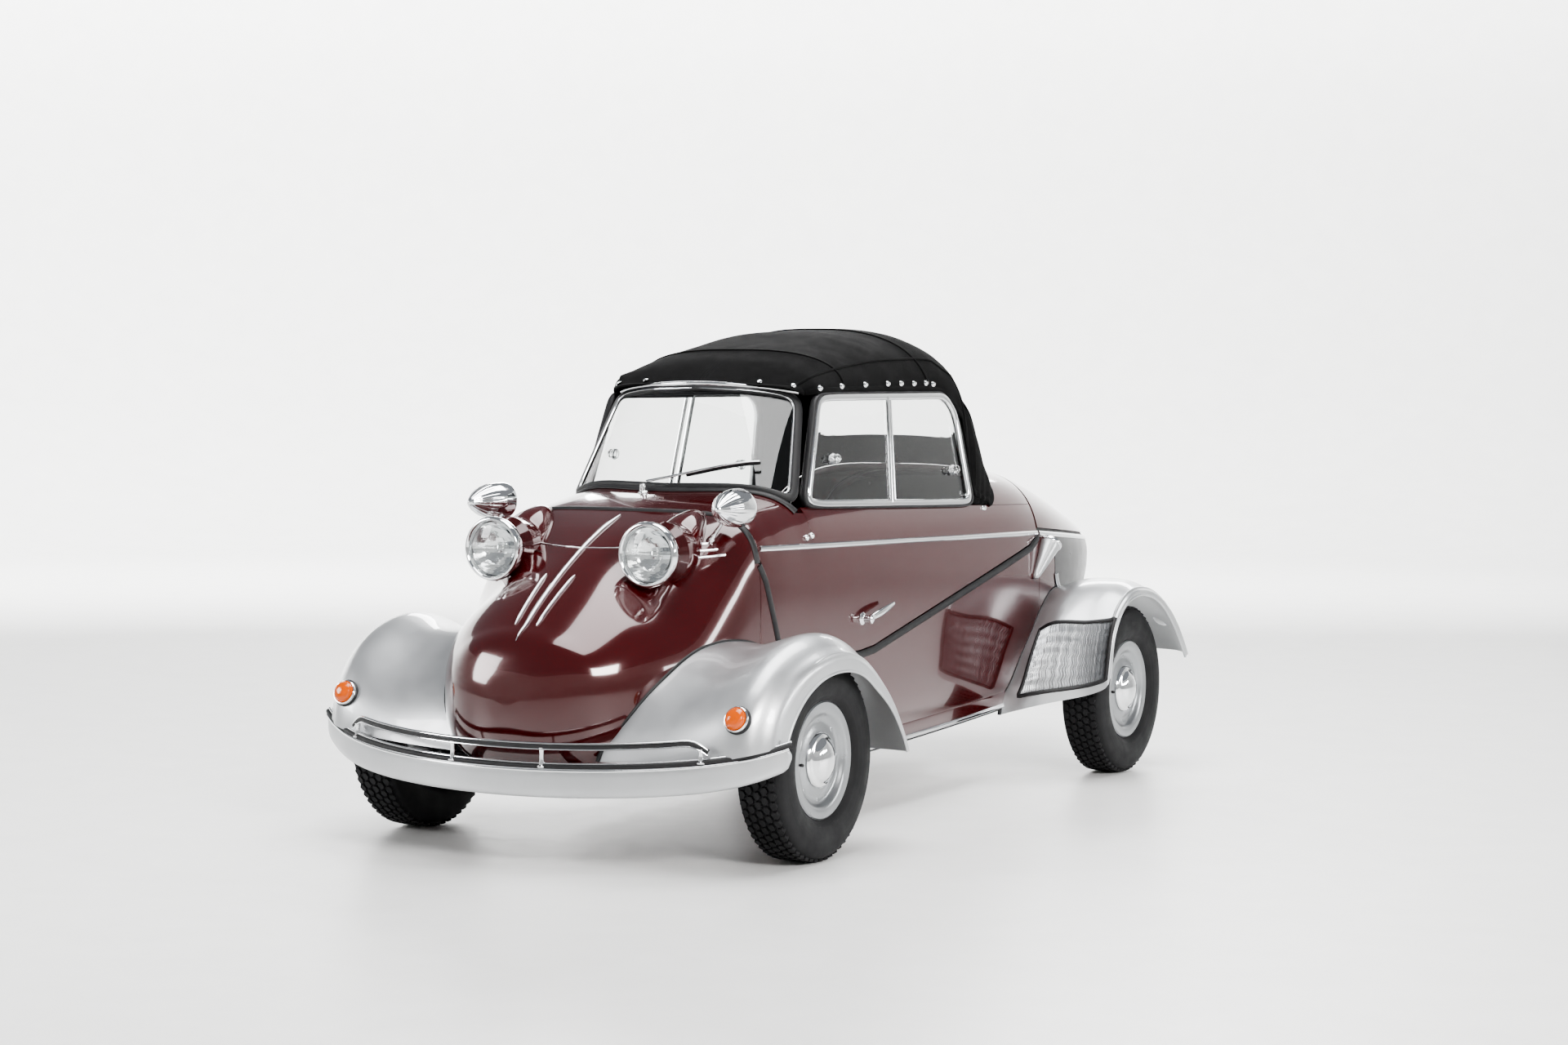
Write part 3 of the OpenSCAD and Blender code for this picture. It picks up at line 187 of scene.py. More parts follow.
@dataclass(frozen=True)
class Finish:
    """One material: its colour, gloss and the pattern that breaks them up."""

    name: str
    slot: str
    color: tuple[float, float, float]
    roughness: float
    pattern: Pattern
    metallic: float = 0.0
    coat: float = 0.0
    grain: float = 300.0
    bump: float = 0.1
    variation: float = 0.06
    sheen: float = 0.0
    transmission: float = 0.0
    ior: float = 1.5
    specular: float = 0.5

    def material(self) -> bpy.types.Material:
        """The material of this finish, made once."""
        known = bpy.data.materials.get(f"{self.name}_look")
        return known if known else self._make()

    def _make(self) -> bpy.types.Material:
        """Builds the nodes: a shader, a blotch of colour, a spread of roughness and a fine bump."""
        mat = bpy.data.materials.new(f"{self.name}_look")
        mat.use_nodes = True
        nodes, links = mat.node_tree.nodes, mat.node_tree.links
        shader = nodes["Principled BSDF"]
        for socket, value in (("Metallic", self.metallic), ("Coat Weight", self.coat),
                              ("Coat Roughness", 0.04),
                              ("Sheen Weight", self.sheen), ("Transmission Weight", self.transmission),
                              ("IOR", self.ior), ("Specular IOR Level", self.specular)):
            shader.inputs[socket].default_value = value
        coord = nodes.new("ShaderNodeTexCoord").outputs["UV" if self.pattern is Pattern.WEAVE else "Object"]
        place = nodes.new("ShaderNodeTexCoord").outputs["Object"]

        blotch = self._noise(nodes, links, place, 6.0, 5.0)
        ramp = nodes.new("ShaderNodeValToRGB")
        for stop, share in zip(ramp.color_ramp.elements, (1 - self.variation, 1 + self.variation)):
            stop.color = (*[min(1.0, c * share) for c in self.color], 1)
        ramp.color_ramp.elements[0].position, ramp.color_ramp.elements[1].position = 0.3, 0.7
        links.new(blotch, ramp.inputs["Fac"])
        tone = ramp.outputs["Color"]

        smudge = self._noise(nodes, links, place, 22.0, 6.0)
        spread = nodes.new("ShaderNodeMapRange")
        spread.inputs["To Min"].default_value = self.roughness * 0.75
        spread.inputs["To Max"].default_value = min(1.0, self.roughness * 1.3)
        links.new(smudge, spread.inputs["Value"])
        links.new(spread.outputs["Result"], shader.inputs["Roughness"])

        height = self._height(nodes, links, coord, place)
        if self.pattern is Pattern.WEAVE:
            # Cloth gets painted shade: its colour darkens between the threads.
            tone = self._painted_thread_shade(nodes, links, tone, height)
        links.new(tone, shader.inputs["Base Color"])
        bump = nodes.new("ShaderNodeBump")
        bump.inputs["Strength"].default_value = self.bump
        bump.inputs["Distance"].default_value = 0.4 / self.grain
        links.new(height, bump.inputs["Height"])
        links.new(bump.outputs["Normal"], shader.inputs["Normal"])
        return mat

    @staticmethod
    def _noise(nodes: Nodes, links: Links, coord: Socket, scale: float, detail: float) -> Socket:
        """A noise texture's value at a scale."""
        noise = nodes.new("ShaderNodeTexNoise")
        noise.inputs["Scale"].default_value = scale
        noise.inputs["Detail"].default_value = detail
        links.new(coord, noise.inputs["Vector"])
        return noise.outputs["Fac"]

    @staticmethod
    def _math(nodes: Nodes, links: Links, kind: str, a: Socket, b: Socket) -> Socket:
        """A math node on two sockets."""
        node = nodes.new("ShaderNodeMath")
        node.operation = kind
        links.new(a, node.inputs[0])
        links.new(b, node.inputs[1])
        return node.outputs[0]

    def _height(self, nodes: Nodes, links: Links, coord: Socket, place: Socket) -> Socket:
        """The height field of the pattern."""
        if self.pattern is Pattern.WEAVE:
            waves = []
            for direction in ("X", "Y"):
                wave = nodes.new("ShaderNodeTexWave")
                wave.bands_direction = direction
                wave.inputs["Scale"].default_value = self.grain
                wave.inputs["Distortion"].default_value = 0.6
                links.new(coord, wave.inputs["Vector"])
                waves.append(wave.outputs["Fac"])
            return self._math(nodes, links, "MULTIPLY", *waves)
        if self.pattern is Pattern.LEATHER:
            cells = nodes.new("ShaderNodeTexVoronoi")
            cells.feature = "SMOOTH_F1"
            cells.inputs["Scale"].default_value = self.grain
            links.new(place, cells.inputs["Vector"])
            return cells.outputs["Distance"]
        if self.pattern in (Pattern.BRUSHED, Pattern.METAL):
            stretch = nodes.new("ShaderNodeMapping")
            stretch.inputs["Scale"].default_value = (0.04, 1.0, 1.0)
            links.new(place, stretch.inputs["Vector"])
            return self._noise(nodes, links, stretch.outputs["Vector"], self.grain, 3.0)
        return self._noise(nodes, links, place, self.grain, 4.0)

    def _painted_thread_shade(self, nodes: Nodes, links: Links, tone: Socket, height: Socket) -> Socket:
        """The colour of cloth with painted shade between its threads: darker where the weave is low."""
        blend = nodes.new("ShaderNodeMix")
        blend.data_type = "RGBA"
        # Painted shade between the threads: a third of the cloth's colour where the weave is lowest.
        blend.inputs[6].default_value = (*[c * 0.35 for c in self.color], 1)
        links.new(height, blend.inputs[0])
        links.new(tone, blend.inputs[7])
        return blend.outputs[2]


MAROON = Finish("maroon_paint", "maroon_paint", (0.05, 0.0005, 0.0012), 0.14, Pattern.PAINT, metallic=0.15,
                coat=1, grain=420, bump=0.02, variation=0.04)
SILVER = Finish("silver_paint", "silver_paint", (0.5, 0.51, 0.52), 0.36, Pattern.PAINT, metallic=0.75,
                coat=0.7, grain=900, bump=0.03)
RIM_SILVER = Finish("rim_paint", "silver_paint", (0.33, 0.34, 0.35), 0.3, Pattern.PAINT, metallic=0.85,
                    coat=0.3, grain=700, bump=0.05)
CHROME = Finish("bright_chrome", "bright_chrome", (0.86, 0.87, 0.88), 0.06, Pattern.METAL, metallic=1,
                grain=500, bump=0.01, variation=0.02)
ALUMINIUM = Finish("satin_aluminium", "satin_aluminium", (0.4, 0.41, 0.42), 0.42, Pattern.BRUSHED,
                   metallic=1, grain=900, bump=0.12)
RUBBER = Finish("black_rubber", "black_rubber", (0.007, 0.007, 0.008), 0.5, Pattern.RUBBER, grain=600,
                bump=0.12)
TYRE = Finish("tyre_rubber", "tyre_rubber", (0.01, 0.01, 0.011), 0.6, Pattern.RUBBER, grain=350, bump=0.3,
              variation=0.25, specular=0.3)
BLACK = Finish("black_paint", "black_paint", (0.009, 0.009, 0.01), 0.3, Pattern.PAINT, coat=0.3, grain=350,
               bump=0.08)
CAST = Finish("cast_metal", "cast_metal", (0.2, 0.2, 0.2), 0.55, Pattern.CAST, metallic=0.8, grain=220,
              bump=0.5, variation=0.2)
CLOTH = Finish("black_cloth", "black_cloth", (0.006, 0.006, 0.0065), 0.9, Pattern.WEAVE, grain=170,
               bump=0.7, sheen=0.02, specular=0.12)
VINYL = Finish("seat_vinyl", "seat_vinyl", (0.012, 0.011, 0.011), 0.42, Pattern.LEATHER, grain=420,
               bump=0.35, sheen=0.05)
GLASS = Finish("clear_glass", "clear_glass", (0.98, 0.99, 0.985), 0.005, Pattern.CLEAR, transmission=1,
               ior=1.45, grain=30, bump=0.002, variation=0.005)
ACRYLIC = Finish("clear_acrylic", "clear_glass", (0.95, 0.96, 0.965), 0.02, Pattern.CLEAR, transmission=1,
                 ior=1.49, grain=60, bump=0.01, variation=0.01)
AMBER = Finish("amber_lens", "amber_lens", (0.85, 0.15, 0.006), 0.12, Pattern.CLEAR, transmission=0.35,
               ior=1.49, coat=0.4, grain=260, bump=0.03)
RED = Finish("red_lens", "red_lens", (0.45, 0.006, 0.008), 0.12, Pattern.CLEAR, transmission=0.4, ior=1.49,
             coat=0.4, grain=260, bump=0.03)
FLOOR = Finish("studio_floor", "studio_floor", (0.8, 0.8, 0.79), 0.35, Pattern.RUBBER, grain=40, bump=0.02,
               variation=0.02)


# ---- Pieces ----


@dataclass
class Piece:
    """One visible piece: surfaces gathered as grids, then made one mesh on one CAD body."""

    name: str
    body: str = "body"
    replaces: tuple[str, ...] = ()
    finishes: list[Finish] = field(default_factory=list)
    points: list[Array] = field(default_factory=list)
    faces: list[Array] = field(default_factory=list)
    marks: list[Array] = field(default_factory=list)
    coords: list[Array] = field(default_factory=list)
    count: int = 0
    has_uv: bool = False

    def add(self, outer: Array, finish: Finish, inner: Optional[Array] = None, keep: Optional[Array] = None,
            closed: bool = False, uv: Optional[tuple[float, float]] = None) -> "Piece":
        """Adds a grid, or the closed solid between two grids.

        Args:
            outer: Points, rows by columns.
            finish: Its finish.
            inner: The same grid on the inner side, which makes a wall with rims.
            keep: Which cells stay, rows - 1 by columns - 1, or by columns where the grid is closed.
            closed: Whether the last column joins the first.
            uv: Size of the sheet in metres along rows and columns, for a cloth's weave.

        Returns:
            The piece itself.
        """
        m, n = outer.shape[:2]
        cells = n if closed else n - 1
        i, j = outer_product(np.arange(m - 1), np.arange(cells))
        k = (j + 1) % n
        has = np.ones((m - 1, cells), bool) if keep is None else keep
        quads = np.stack([i * n + j, (i + 1) * n + j, (i + 1) * n + k, i * n + k], axis=-1)
        faces = [quads[has]]
        if inner is not None:
            far = m * n
            faces.append((quads[has] + far)[:, ::-1])
            ring = np.pad(has, ((1, 1), (0, 0)))
            across = np.roll(has, 1, 1) if closed else np.pad(has, ((0, 0), (1, 0)))[:, :-1]
            beyond = np.roll(has, -1, 1) if closed else np.pad(has, ((0, 0), (0, 1)))[:, 1:]
            for missing, a, b in ((~ring[:-2], 3, 0), (~ring[2:], 1, 2), (~across, 0, 1), (~beyond, 2, 3)):
                edge = quads[has & missing]
                faces.append(np.stack([edge[:, b], edge[:, a], edge[:, a] + far, edge[:, b] + far], axis=-1))
            grid = np.concatenate([outer.reshape(-1, 3), inner.reshape(-1, 3)])
        else:
            grid = outer.reshape(-1, 3)
        return self._take(grid, np.concatenate(faces), finish, self._sheet_uv(m, n, uv, inner is not None))

    @staticmethod
    def _sheet_uv(m: int, n: int, size: Optional[tuple[float, float]], double: bool) -> Optional[Array]:
        """Places on a sheet, in metres, for each point of the grid."""
        if size is None:
            return None
        u, v = outer_product(np.linspace(0, size[0], m), np.linspace(0, size[1], n))
        flat = np.stack([u, v], axis=-1).reshape(-1, 2)
        return np.concatenate([flat, flat]) if double else flat

    def _take(self, points: Array, faces: Array, finish: Finish, uv: Optional[Array] = None) -> "Piece":
        """Keeps points and faces under a finish, turned so that a closed shell's faces point outward."""
        if finish not in self.finishes:
            self.finishes.append(finish)
        corner = (points - points.mean(0))[faces]
        volume = (corner[:, 0] * np.cross(corner[:, 1], corner[:, 2])).sum()
        volume += (corner[:, 0] * np.cross(corner[:, 2], corner[:, 3])).sum()
        if volume < 0:
            faces = faces[:, ::-1]
        self.points.append(points)
        self.faces.append(faces + self.count)
        self.marks.append(np.full(len(faces), self.finishes.index(finish)))
        self.coords.append(np.zeros((len(points), 2)) if uv is None else uv)
        self.has_uv = self.has_uv or uv is not None
        self.count += len(points)
        return self

    def wall(self, outer: Array, depth: float, inside: Sequence[float], finish: Finish,
             keep: Optional[Array] = None, closed: bool = False,
             uv: Optional[tuple[float, float]] = None) -> "Piece":
        """Adds a wall of even depth behind a grid."""
        return self.add(outer, finish, inset(outer, depth, inside), keep, closed, uv)

    def turned(self, profile: Sequence[Sequence[float]], at: Array, finish: Finish, sides: int,
               step: float = 0.0, flutes: Optional[Callable[[Array, Array], Array]] = None) -> "Piece":
        """Adds a solid turned from a profile of radius and height, with its ends drawn to points.

        Args:
            profile: Radius and height of each ring.
            at: The 4 by 4 placement whose Z is the axis.
            finish: Its finish.
            sides: Points round each ring.
            step: How finely the profile is sampled anew, or 0 to keep its own points.
            flutes: A factor on the radius, as revolve takes it.

        Returns:
            The piece itself.
        """
        table = rounded(profile, step) if step else profile
        return self.add(capped(revolve(table, at, sides, flutes)), finish, closed=True)

    def strip(self, path: Array, outline: Array, up: Array, finish: Finish, scale: Array = 1.0,
              loop: bool = False) -> "Piece":
        """Adds a strip: an outline carried along a path, as sweep does it."""
        return self.add(sweep(path, outline, up, scale, loop), finish, closed=True)

    def block(self, low: Sequence[float], high: Sequence[float], finish: Finish, round_by: float) -> "Piece":
        """Adds a box with rounded edges: rings from bottom to top, with quarter circles at the corners.

        Args:
            low: Lowest corner.
            high: Highest corner.
            finish: Its finish.
            round_by: Radius of its edges.

        Returns:
            The piece itself.
        """
        low, high = np.asarray(low, float), np.asarray(high, float)
        middle, half = (low + high) / 2, (high - low) / 2
        r = min(round_by, *half)
        turn = np.radians(np.linspace(0, 90, 4))
        rise = np.concatenate([-half[2] + r - r * np.cos(turn), half[2] - r + r * np.sin(turn)])
        pull = np.concatenate([r - r * np.sin(turn), r - r * np.cos(turn)])
        around = np.radians(np.concatenate([np.linspace(0, 90, 4) + q for q in (0, 90, 180, 270)]))
        corner = np.repeat(np.array([[1, 1], [-1, 1], [-1, -1], [1, -1]]), 4, axis=0)
        x = corner[:, 0] * (half[0] - r) + (r - pull)[:, None] * np.cos(around)
        y = corner[:, 1] * (half[1] - r) + (r - pull)[:, None] * np.sin(around)
        rings = stack(x + middle[0], y + middle[1], rise[:, None] + middle[2])
        return self.add(capped(rings), finish, closed=True)

    def make(self, bevel: float = 0.0, levels: int = 0, crease: float = 38.0) -> bpy.types.Object:
        """Makes the mesh with its finishes and hangs it on its body.

        Args:
            bevel: Radius that rounds its sharp edges, in millimetres.
            levels: Subdivision levels.
            crease: Angle in degrees above which an edge stays sharp.

        Returns:
            The object.
        """
        mesh = bpy.data.meshes.new(self.name)
        points = np.concatenate(self.points) * MM
        mesh.from_pydata(points.tolist(), [], np.concatenate(self.faces).tolist())
        mesh.polygons.foreach_set("material_index", np.concatenate(self.marks).astype(np.int32))
        for finish in self.finishes:
            mesh.materials.append(finish.material())
        if self.has_uv:
            layer = mesh.uv_layers.new(name="sheet")
            corner = np.empty(len(mesh.loops), np.int32)
            mesh.loops.foreach_get("vertex_index", corner)
            layer.uv.foreach_set("vector", np.concatenate(self.coords)[corner].astype(np.float32).ravel())
        work = bmesh.new()
        work.from_mesh(mesh)
        bmesh.ops.remove_doubles(work, verts=work.verts, dist=2e-6)
        bmesh.ops.dissolve_degenerate(work, edges=work.edges, dist=1e-6)
        work.to_mesh(mesh)
        work.free()
        mesh.shade_smooth()
        mesh.set_sharp_from_angle(angle=math.radians(crease))
        obj = bpy.data.objects.new(self.name, mesh)
        bpy.context.scene.collection.objects.link(obj)
        if bevel:
            soften = obj.modifiers.new("edges", "BEVEL")
            soften.width = bevel * MM
            soften.segments = 2
            soften.limit_method = "ANGLE"
            soften.angle_limit = math.radians(50)
            soften.harden_normals = True
        if levels:
            smooth = obj.modifiers.new("smooth", "SUBSURF")
            smooth.levels = smooth.render_levels = levels
        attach(obj, self.body)
        if self.replaces:
            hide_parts(*self.replaces)
        LOG.info("%s: %d faces on %s", self.name, len(mesh.polygons), self.body)
        return obj


def capped(rings: Array) -> Array:
    """Closed rings with their two ends drawn together to a point."""
    ends = [np.repeat(r.mean(0, keepdims=True), rings.shape[1], 0)[None] for r in (rings[0], rings[-1])]
    return np.concatenate([ends[0], rings, ends[1]])


def ellipse(width: float, height: float, sides: int = 12, power: float = 2.0) -> Array:
    """A closed outline of that width and height; a higher power makes it squarer."""
    a = np.radians(np.arange(sides) * 360 / sides)
    x, y = width / 2 * spow(np.cos(a), 2 / power), height / 2 * spow(np.sin(a), 2 / power)
    return np.stack([x, y], axis=-1)


def sweep(path: Array, outline: Array, up: Array, scale: Array = 1.0, loop: bool = False) -> Array:
    """A closed outline carried along a path.

    Each ring is the outline laid across the path: its first axis along tangent x up, its second along
    what is left of up.

    Args:
        path: Points along the way.
        outline: Points of the outline.
        up: One direction, or one for each point of the path.
        scale: Size of the outline along the path.
        loop: Whether the path returns to its start, which then isn't repeated.

    Returns:
        Closed rings, with their ends drawn to a point unless the path is a loop.
    """
    if loop:
        ahead = unit(np.roll(path, -1, 0) - np.roll(path, 1, 0))
    else:
        ahead = unit(np.gradient(path, axis=0))
    side = unit(np.cross(ahead, np.broadcast_to(up, path.shape)))
    rise = np.cross(side, ahead)
    scale = np.broadcast_to(scale, (len(path),))[:, None, None]
    across = outline[None, :, :1] * side[:, None] + outline[None, :, 1:] * rise[:, None]
    rings = path[:, None] + scale * across
    return np.concatenate([rings, rings[:1]]) if loop else capped(rings)


def placement(origin: Sequence[float], axis: Sequence[float], toward: Sequence[float] = (0, 0, 1)) -> Array:
    """A 4 by 4 placement whose Z lies along axis and whose X is as near as it can be to toward."""
    z = unit(np.asarray(axis, float))
    x = unit(np.asarray(toward, float) - np.dot(toward, z) * z)
    out = np.eye(4)
    out[:3, 0], out[:3, 1], out[:3, 2], out[:3, 3] = x, np.cross(z, x), z, origin
    return out


def revolve(profile: Sequence[Sequence[float]], at: Array, sides: int = 64,
            flutes: Optional[Callable[[Array, Array], Array]] = None) -> Array:
    """A profile of radius and height turned round Z of a placement.

    Args:
        profile: Radius and height of each ring, from one pole or rim to the other.
        at: The 4 by 4 placement.
        sides: Points round each ring.
        flutes: Gives a factor on the radius from the ring's share and the angle, or None.

    Returns:
        Closed rings, rows by sides.
    """
    table = np.asarray(profile, float)
    a = np.radians(np.arange(sides) * 360 / sides)
    r = np.repeat(table[:, :1], sides, 1)
    if flutes is not None:
        r = r * flutes(np.linspace(0, 1, len(table))[:, None], a[None])
    rings = stack(r * np.cos(a), r * np.sin(a), np.repeat(table[:, 1:], sides, 1))
    return rings @ at[:3, :3].T + at[:3, 3]


def rounded(profile: Sequence[Sequence[float]], step: float = 2.0) -> Array:
    """An open outline sampled evenly along its length, about every step, which trims its corners."""
    table = np.asarray(profile, float)
    far = distance_along(table)
    s = np.linspace(0, far[-1], max(8, int(far[-1] / step)))
    return np.stack([np.interp(s, far, table[:, 0]), np.interp(s, far, table[:, 1])], axis=-1)


def same(grid: Array) -> Array:
    """A grid where it is."""
    return grid


def mirrored(grid: Array) -> Array:
    """A grid on the other side of the car."""
    return grid * np.array([-1.0, 1.0, 1.0])


def twins(at: Array) -> tuple[Array, Array]:
    """A placement and its twin on the other side of the car."""
    return at, np.diag([-1.0, 1, 1, 1]) @ at


SIDES = {"left": same, "right": mirrored}


# ---- The shape of the car ----


@dataclass
class Shape:
    """The body's sections and the lines where its panels part, from a few sizes of the chassis."""

    front_axle_y: float
    rear_axle_y: float
    axle_z: float
    guard_x: float
    half_width: float = 379.0
    front_overhang: float = 500.0
    rear_overhang: float = 610.0
    belt_front: float = 497.0
    belt_rear: float = 462.0
    window_top: float = 862.0
    hood_crown: float = 1037.0
    wall: float = 16.0
    gap: float = 6.0

    @classmethod
    def from_frame(cls) -> "Shape":
        """The sizes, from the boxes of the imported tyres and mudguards."""
        places = []
        for name in ("tyre_front_left", "tyre_rear_left"):
            low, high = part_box(name)
            places.append((low + high) / 2 / MM)
        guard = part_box("front_fender_left")[1].x / MM
        return cls(places[0].y, places[1].y, places[0].z, guard)

    def __post_init__(self) -> None:
        """Works out the curves once."""
        nose, tail = self.front_axle_y - 450, self.rear_axle_y + self.rear_overhang
        self.nose_y = nose
        self.tail_y = tail
        self.front_y = self.front_axle_y - self.front_overhang
        self.canopy_front_y = self.front_axle_y + 100
        self.screen_mid_y = self.front_axle_y + 265
        self.screen_foot_y = self.front_axle_y + 350
        self.screen_corner_y = self.front_axle_y + 381
        self.tail_joint_y = self.rear_axle_y - 145
        self.canopy_end_y = self.tail_joint_y - self.gap
        self.shroud_y = self.rear_axle_y - 20
        taper = self.rear_axle_y - 390
        self.tail_taper_y = taper
        self.nose_taper_y = self.front_axle_y + 250

        def ahead(knots: Sequence[Sequence[float]]) -> list[list[float]]:
            """Knots measured back from the nose, as knots along Y."""
            return [[nose + d, h] for d, h in knots]

        def behind(knots: Sequence[Sequence[float]]) -> list[list[float]]:
            """Knots measured forward from the tail's end, as knots along Y."""
            return [[tail - d, h] for d, h in knots]

        self.top = Curve(
            ahead([[0, 150], [12, 207], [46, 286], [91, 324], [143, 367], [213, 417], [285, 462], [357, 502],
                   [450, 544], [590, 590], [741, 624], [865, 642]])
            + [[taper - 300, 655], [taper, 655]]
            + behind([[755, 642], [440, 575], [140, 492], [40, 450], [0, 430]]))
        self.wide = Curve(
            ahead([[0, 150], [250, 187], [550, 227], [750, 257]]) + [[taper, 257]]
            + behind([[755, 277], [300, 350], [0, 392]]))
        self.bottom = Curve(
            ahead([[0, 107], [20, 60], [60, 37], [130, 10], [250, -33], [550, -68], [900, -78]])
            + [[taper, -40]]
            + behind([[755, -8], [500, 67], [200, 207], [40, 312], [0, 358]]))
        self.roof_power = Curve(
            ahead([[0, 2.4], [200, 2.1], [330, 2.1], [450, 3.6], [530, 5.6], [640, 5], [800, 4.4]])
            + [[taper, 4]]
            + behind([[755, 3.6], [300, 2.4], [0, 2.2]]))
        self.floor_power = Curve(
            ahead([[0, 3], [250, 4], [550, 5], [760, 7.5]])
            + behind([[870, 7.5], [740, 5], [300, 3], [0, 2.4]]))
        knee, heel, foot = self.front_axle_y + 212, self.front_axle_y + 700, 197
        self.door_knots = np.array([
            [self.canopy_front_y, self.belt_front - 40], [self.canopy_front_y + 24, self.belt_front - 80],
            [knee - 22, foot + 52], [knee, foot + 10], [knee + 30, foot], [heel - 80, foot],
            [heel, foot + 8], [self.tail_joint_y - 60, 420], [self.tail_joint_y, self.belt_rear - 14]])

    @staticmethod
    def _taper(s: Array, e: float) -> Array:
        """Falls from 1 to 0 as s goes from 0 to 1, along a superellipse of power e."""
        return np.maximum(0, 1 - np.clip(s, 0, 1) ** e) ** (1 / e)

    def half(self, y: Array) -> Array:
        """Half the body's width at y: full between the tapers, falling to nothing at the nose and tail."""
        return (self.half_width
                * self._taper((self.nose_taper_y - y) / (self.nose_taper_y - self.nose_y), 2.5)
                * self._taper((y - self.tail_taper_y) / (self.tail_y - self.tail_taper_y), 2.75))

    def top_z(self, y: Array) -> Array:
        """Height of the ridge."""
        return self.axle_z + self.top(y)

    def wide_z(self, y: Array) -> Array:
        """Height where the body is widest."""
        return self.axle_z + self.wide(y)

    def bottom_z(self, y: Array) -> Array:
        """Height of the keel."""
        return self.axle_z + self.bottom(y)

    def section(self, y: Array, angle: Array, t: float = 0) -> Array:
        """Point of the superellipse at y, at an angle in degrees from the widest place, moved in by t."""
        a = np.radians(angle)
        up = np.sin(a) >= 0
        e = 2 / np.where(up, self.roof_power(y), self.floor_power(y))
        wide = self.wide_z(y)
        tall = np.where(up, self.top_z(y) - wide, wide - self.bottom_z(y)) - t
        return stack((self.half(y) - t) * spow(np.cos(a), e), y, wide + tall * spow(np.sin(a), e))

    def angle_at(self, y: Array, z: Array) -> Array:
        """Angle in degrees of the section's left point at height z."""
        wide = self.wide_z(y)
        over = np.clip((z - wide) / (self.top_z(y) - wide), 0, 1) ** (self.roof_power(y) / 2)
        under = np.clip((wide - z) / (wide - self.bottom_z(y)), 0, 1) ** (self.floor_power(y) / 2)
        return np.degrees(np.where(z >= wide, np.arcsin(over), -np.arcsin(under)))

    def x_at(self, y: Array, z: Array) -> Array:
        """Half width at height z."""
        return self.section(y, self.angle_at(y, z))[..., 0]

    def z_on(self, y: Array, x: Array) -> Array:
        """Height of the upper side at x."""
        p = self.roof_power(y)
        share = np.maximum(0, 1 - np.clip(np.abs(x) / np.maximum(self.half(y), 1e-6), 0, 1) ** p) ** (1 / p)
        return self.wide_z(y) + (self.top_z(y) - self.wide_z(y)) * share

    def belt_z(self, y: Array) -> Array:
        """Height of the belt: one straight line to the tail's joint and one to its end."""
        front = mix(self.belt_front, self.belt_rear,
                    (y - self.canopy_front_y) / (self.tail_joint_y - self.canopy_front_y))
        rear = mix(self.belt_rear, self.belt_rear - 58,
                   (y - self.tail_joint_y) / (self.tail_y - self.tail_joint_y))
        return self.axle_z + np.where(y < self.tail_joint_y, front, rear)

    def sill_z(self, y: Array) -> Array:
        """Height of the window sills."""
        front, rear = self.front_axle_y + 400, self.tail_joint_y
        return self.axle_z + mix(579, 537, (y - front) / (rear - front))

    def door_z(self, y: Array) -> Array:
        """Height of the door's lower edge: down, along and up again."""
        return self.axle_z + np.interp(y, self.door_knots[:, 0], self.door_knots[:, 1])

    def door_low_z(self, y: Array) -> Array:
        """The same edge raised by the gap, measured across its slope."""
        return self.gap + np.max([self.door_z(y + d * self.gap) for d in np.linspace(-1, 1, 9)], axis=0)

    def normal(self, y: Array, angle: Array) -> Array:
        """Outward unit normal of the body: the cross product of its steps along Y and round the section."""
        along = self.section(y + 1, angle) - self.section(y - 1, angle)
        round_ = self.section(y, angle + 0.4) - self.section(y, angle - 0.4)
        n = unit(np.cross(along, round_))
        at = self.section(y, angle)
        out = stack(at[..., 0], np.zeros_like(at[..., 0]), at[..., 2] - self.wide_z(y))
        return n * np.sign((n * out).sum(-1, keepdims=True))

    def side_path(self, ys: Array, zs: Array, out: float = 0.0, right: bool = False) -> tuple[Array, Array]:
        """A line drawn on the body's side.

        Args:
            ys: Places along the car.
            zs: Heights there.
            out: How far the line stands off the surface.
            right: Whether it lies on the right side.

        Returns:
            Its points and the surface's normals there.
        """
        angle = self.angle_at(ys, zs)
        n = self.normal(ys, angle)
        p = self.section(ys, angle) + out * n
        return (mirrored(p), mirrored(n)) if right else (p, n)

    def roof_path(self, xs: Array, ys: Array, out: float = 0.0) -> tuple[Array, Array]:
        """A line drawn on the body's upper side, with its normals."""
        zs = self.z_on(ys, xs)
        angle = self.angle_at(ys, zs)
        n = self.normal(ys, angle)
        n = n * np.stack([np.where(xs < 0, -1.0, 1.0), np.ones_like(xs), np.ones_like(xs)], -1)
        return stack(xs, ys, zs) + out * n, n


# ---- Fixed body ----


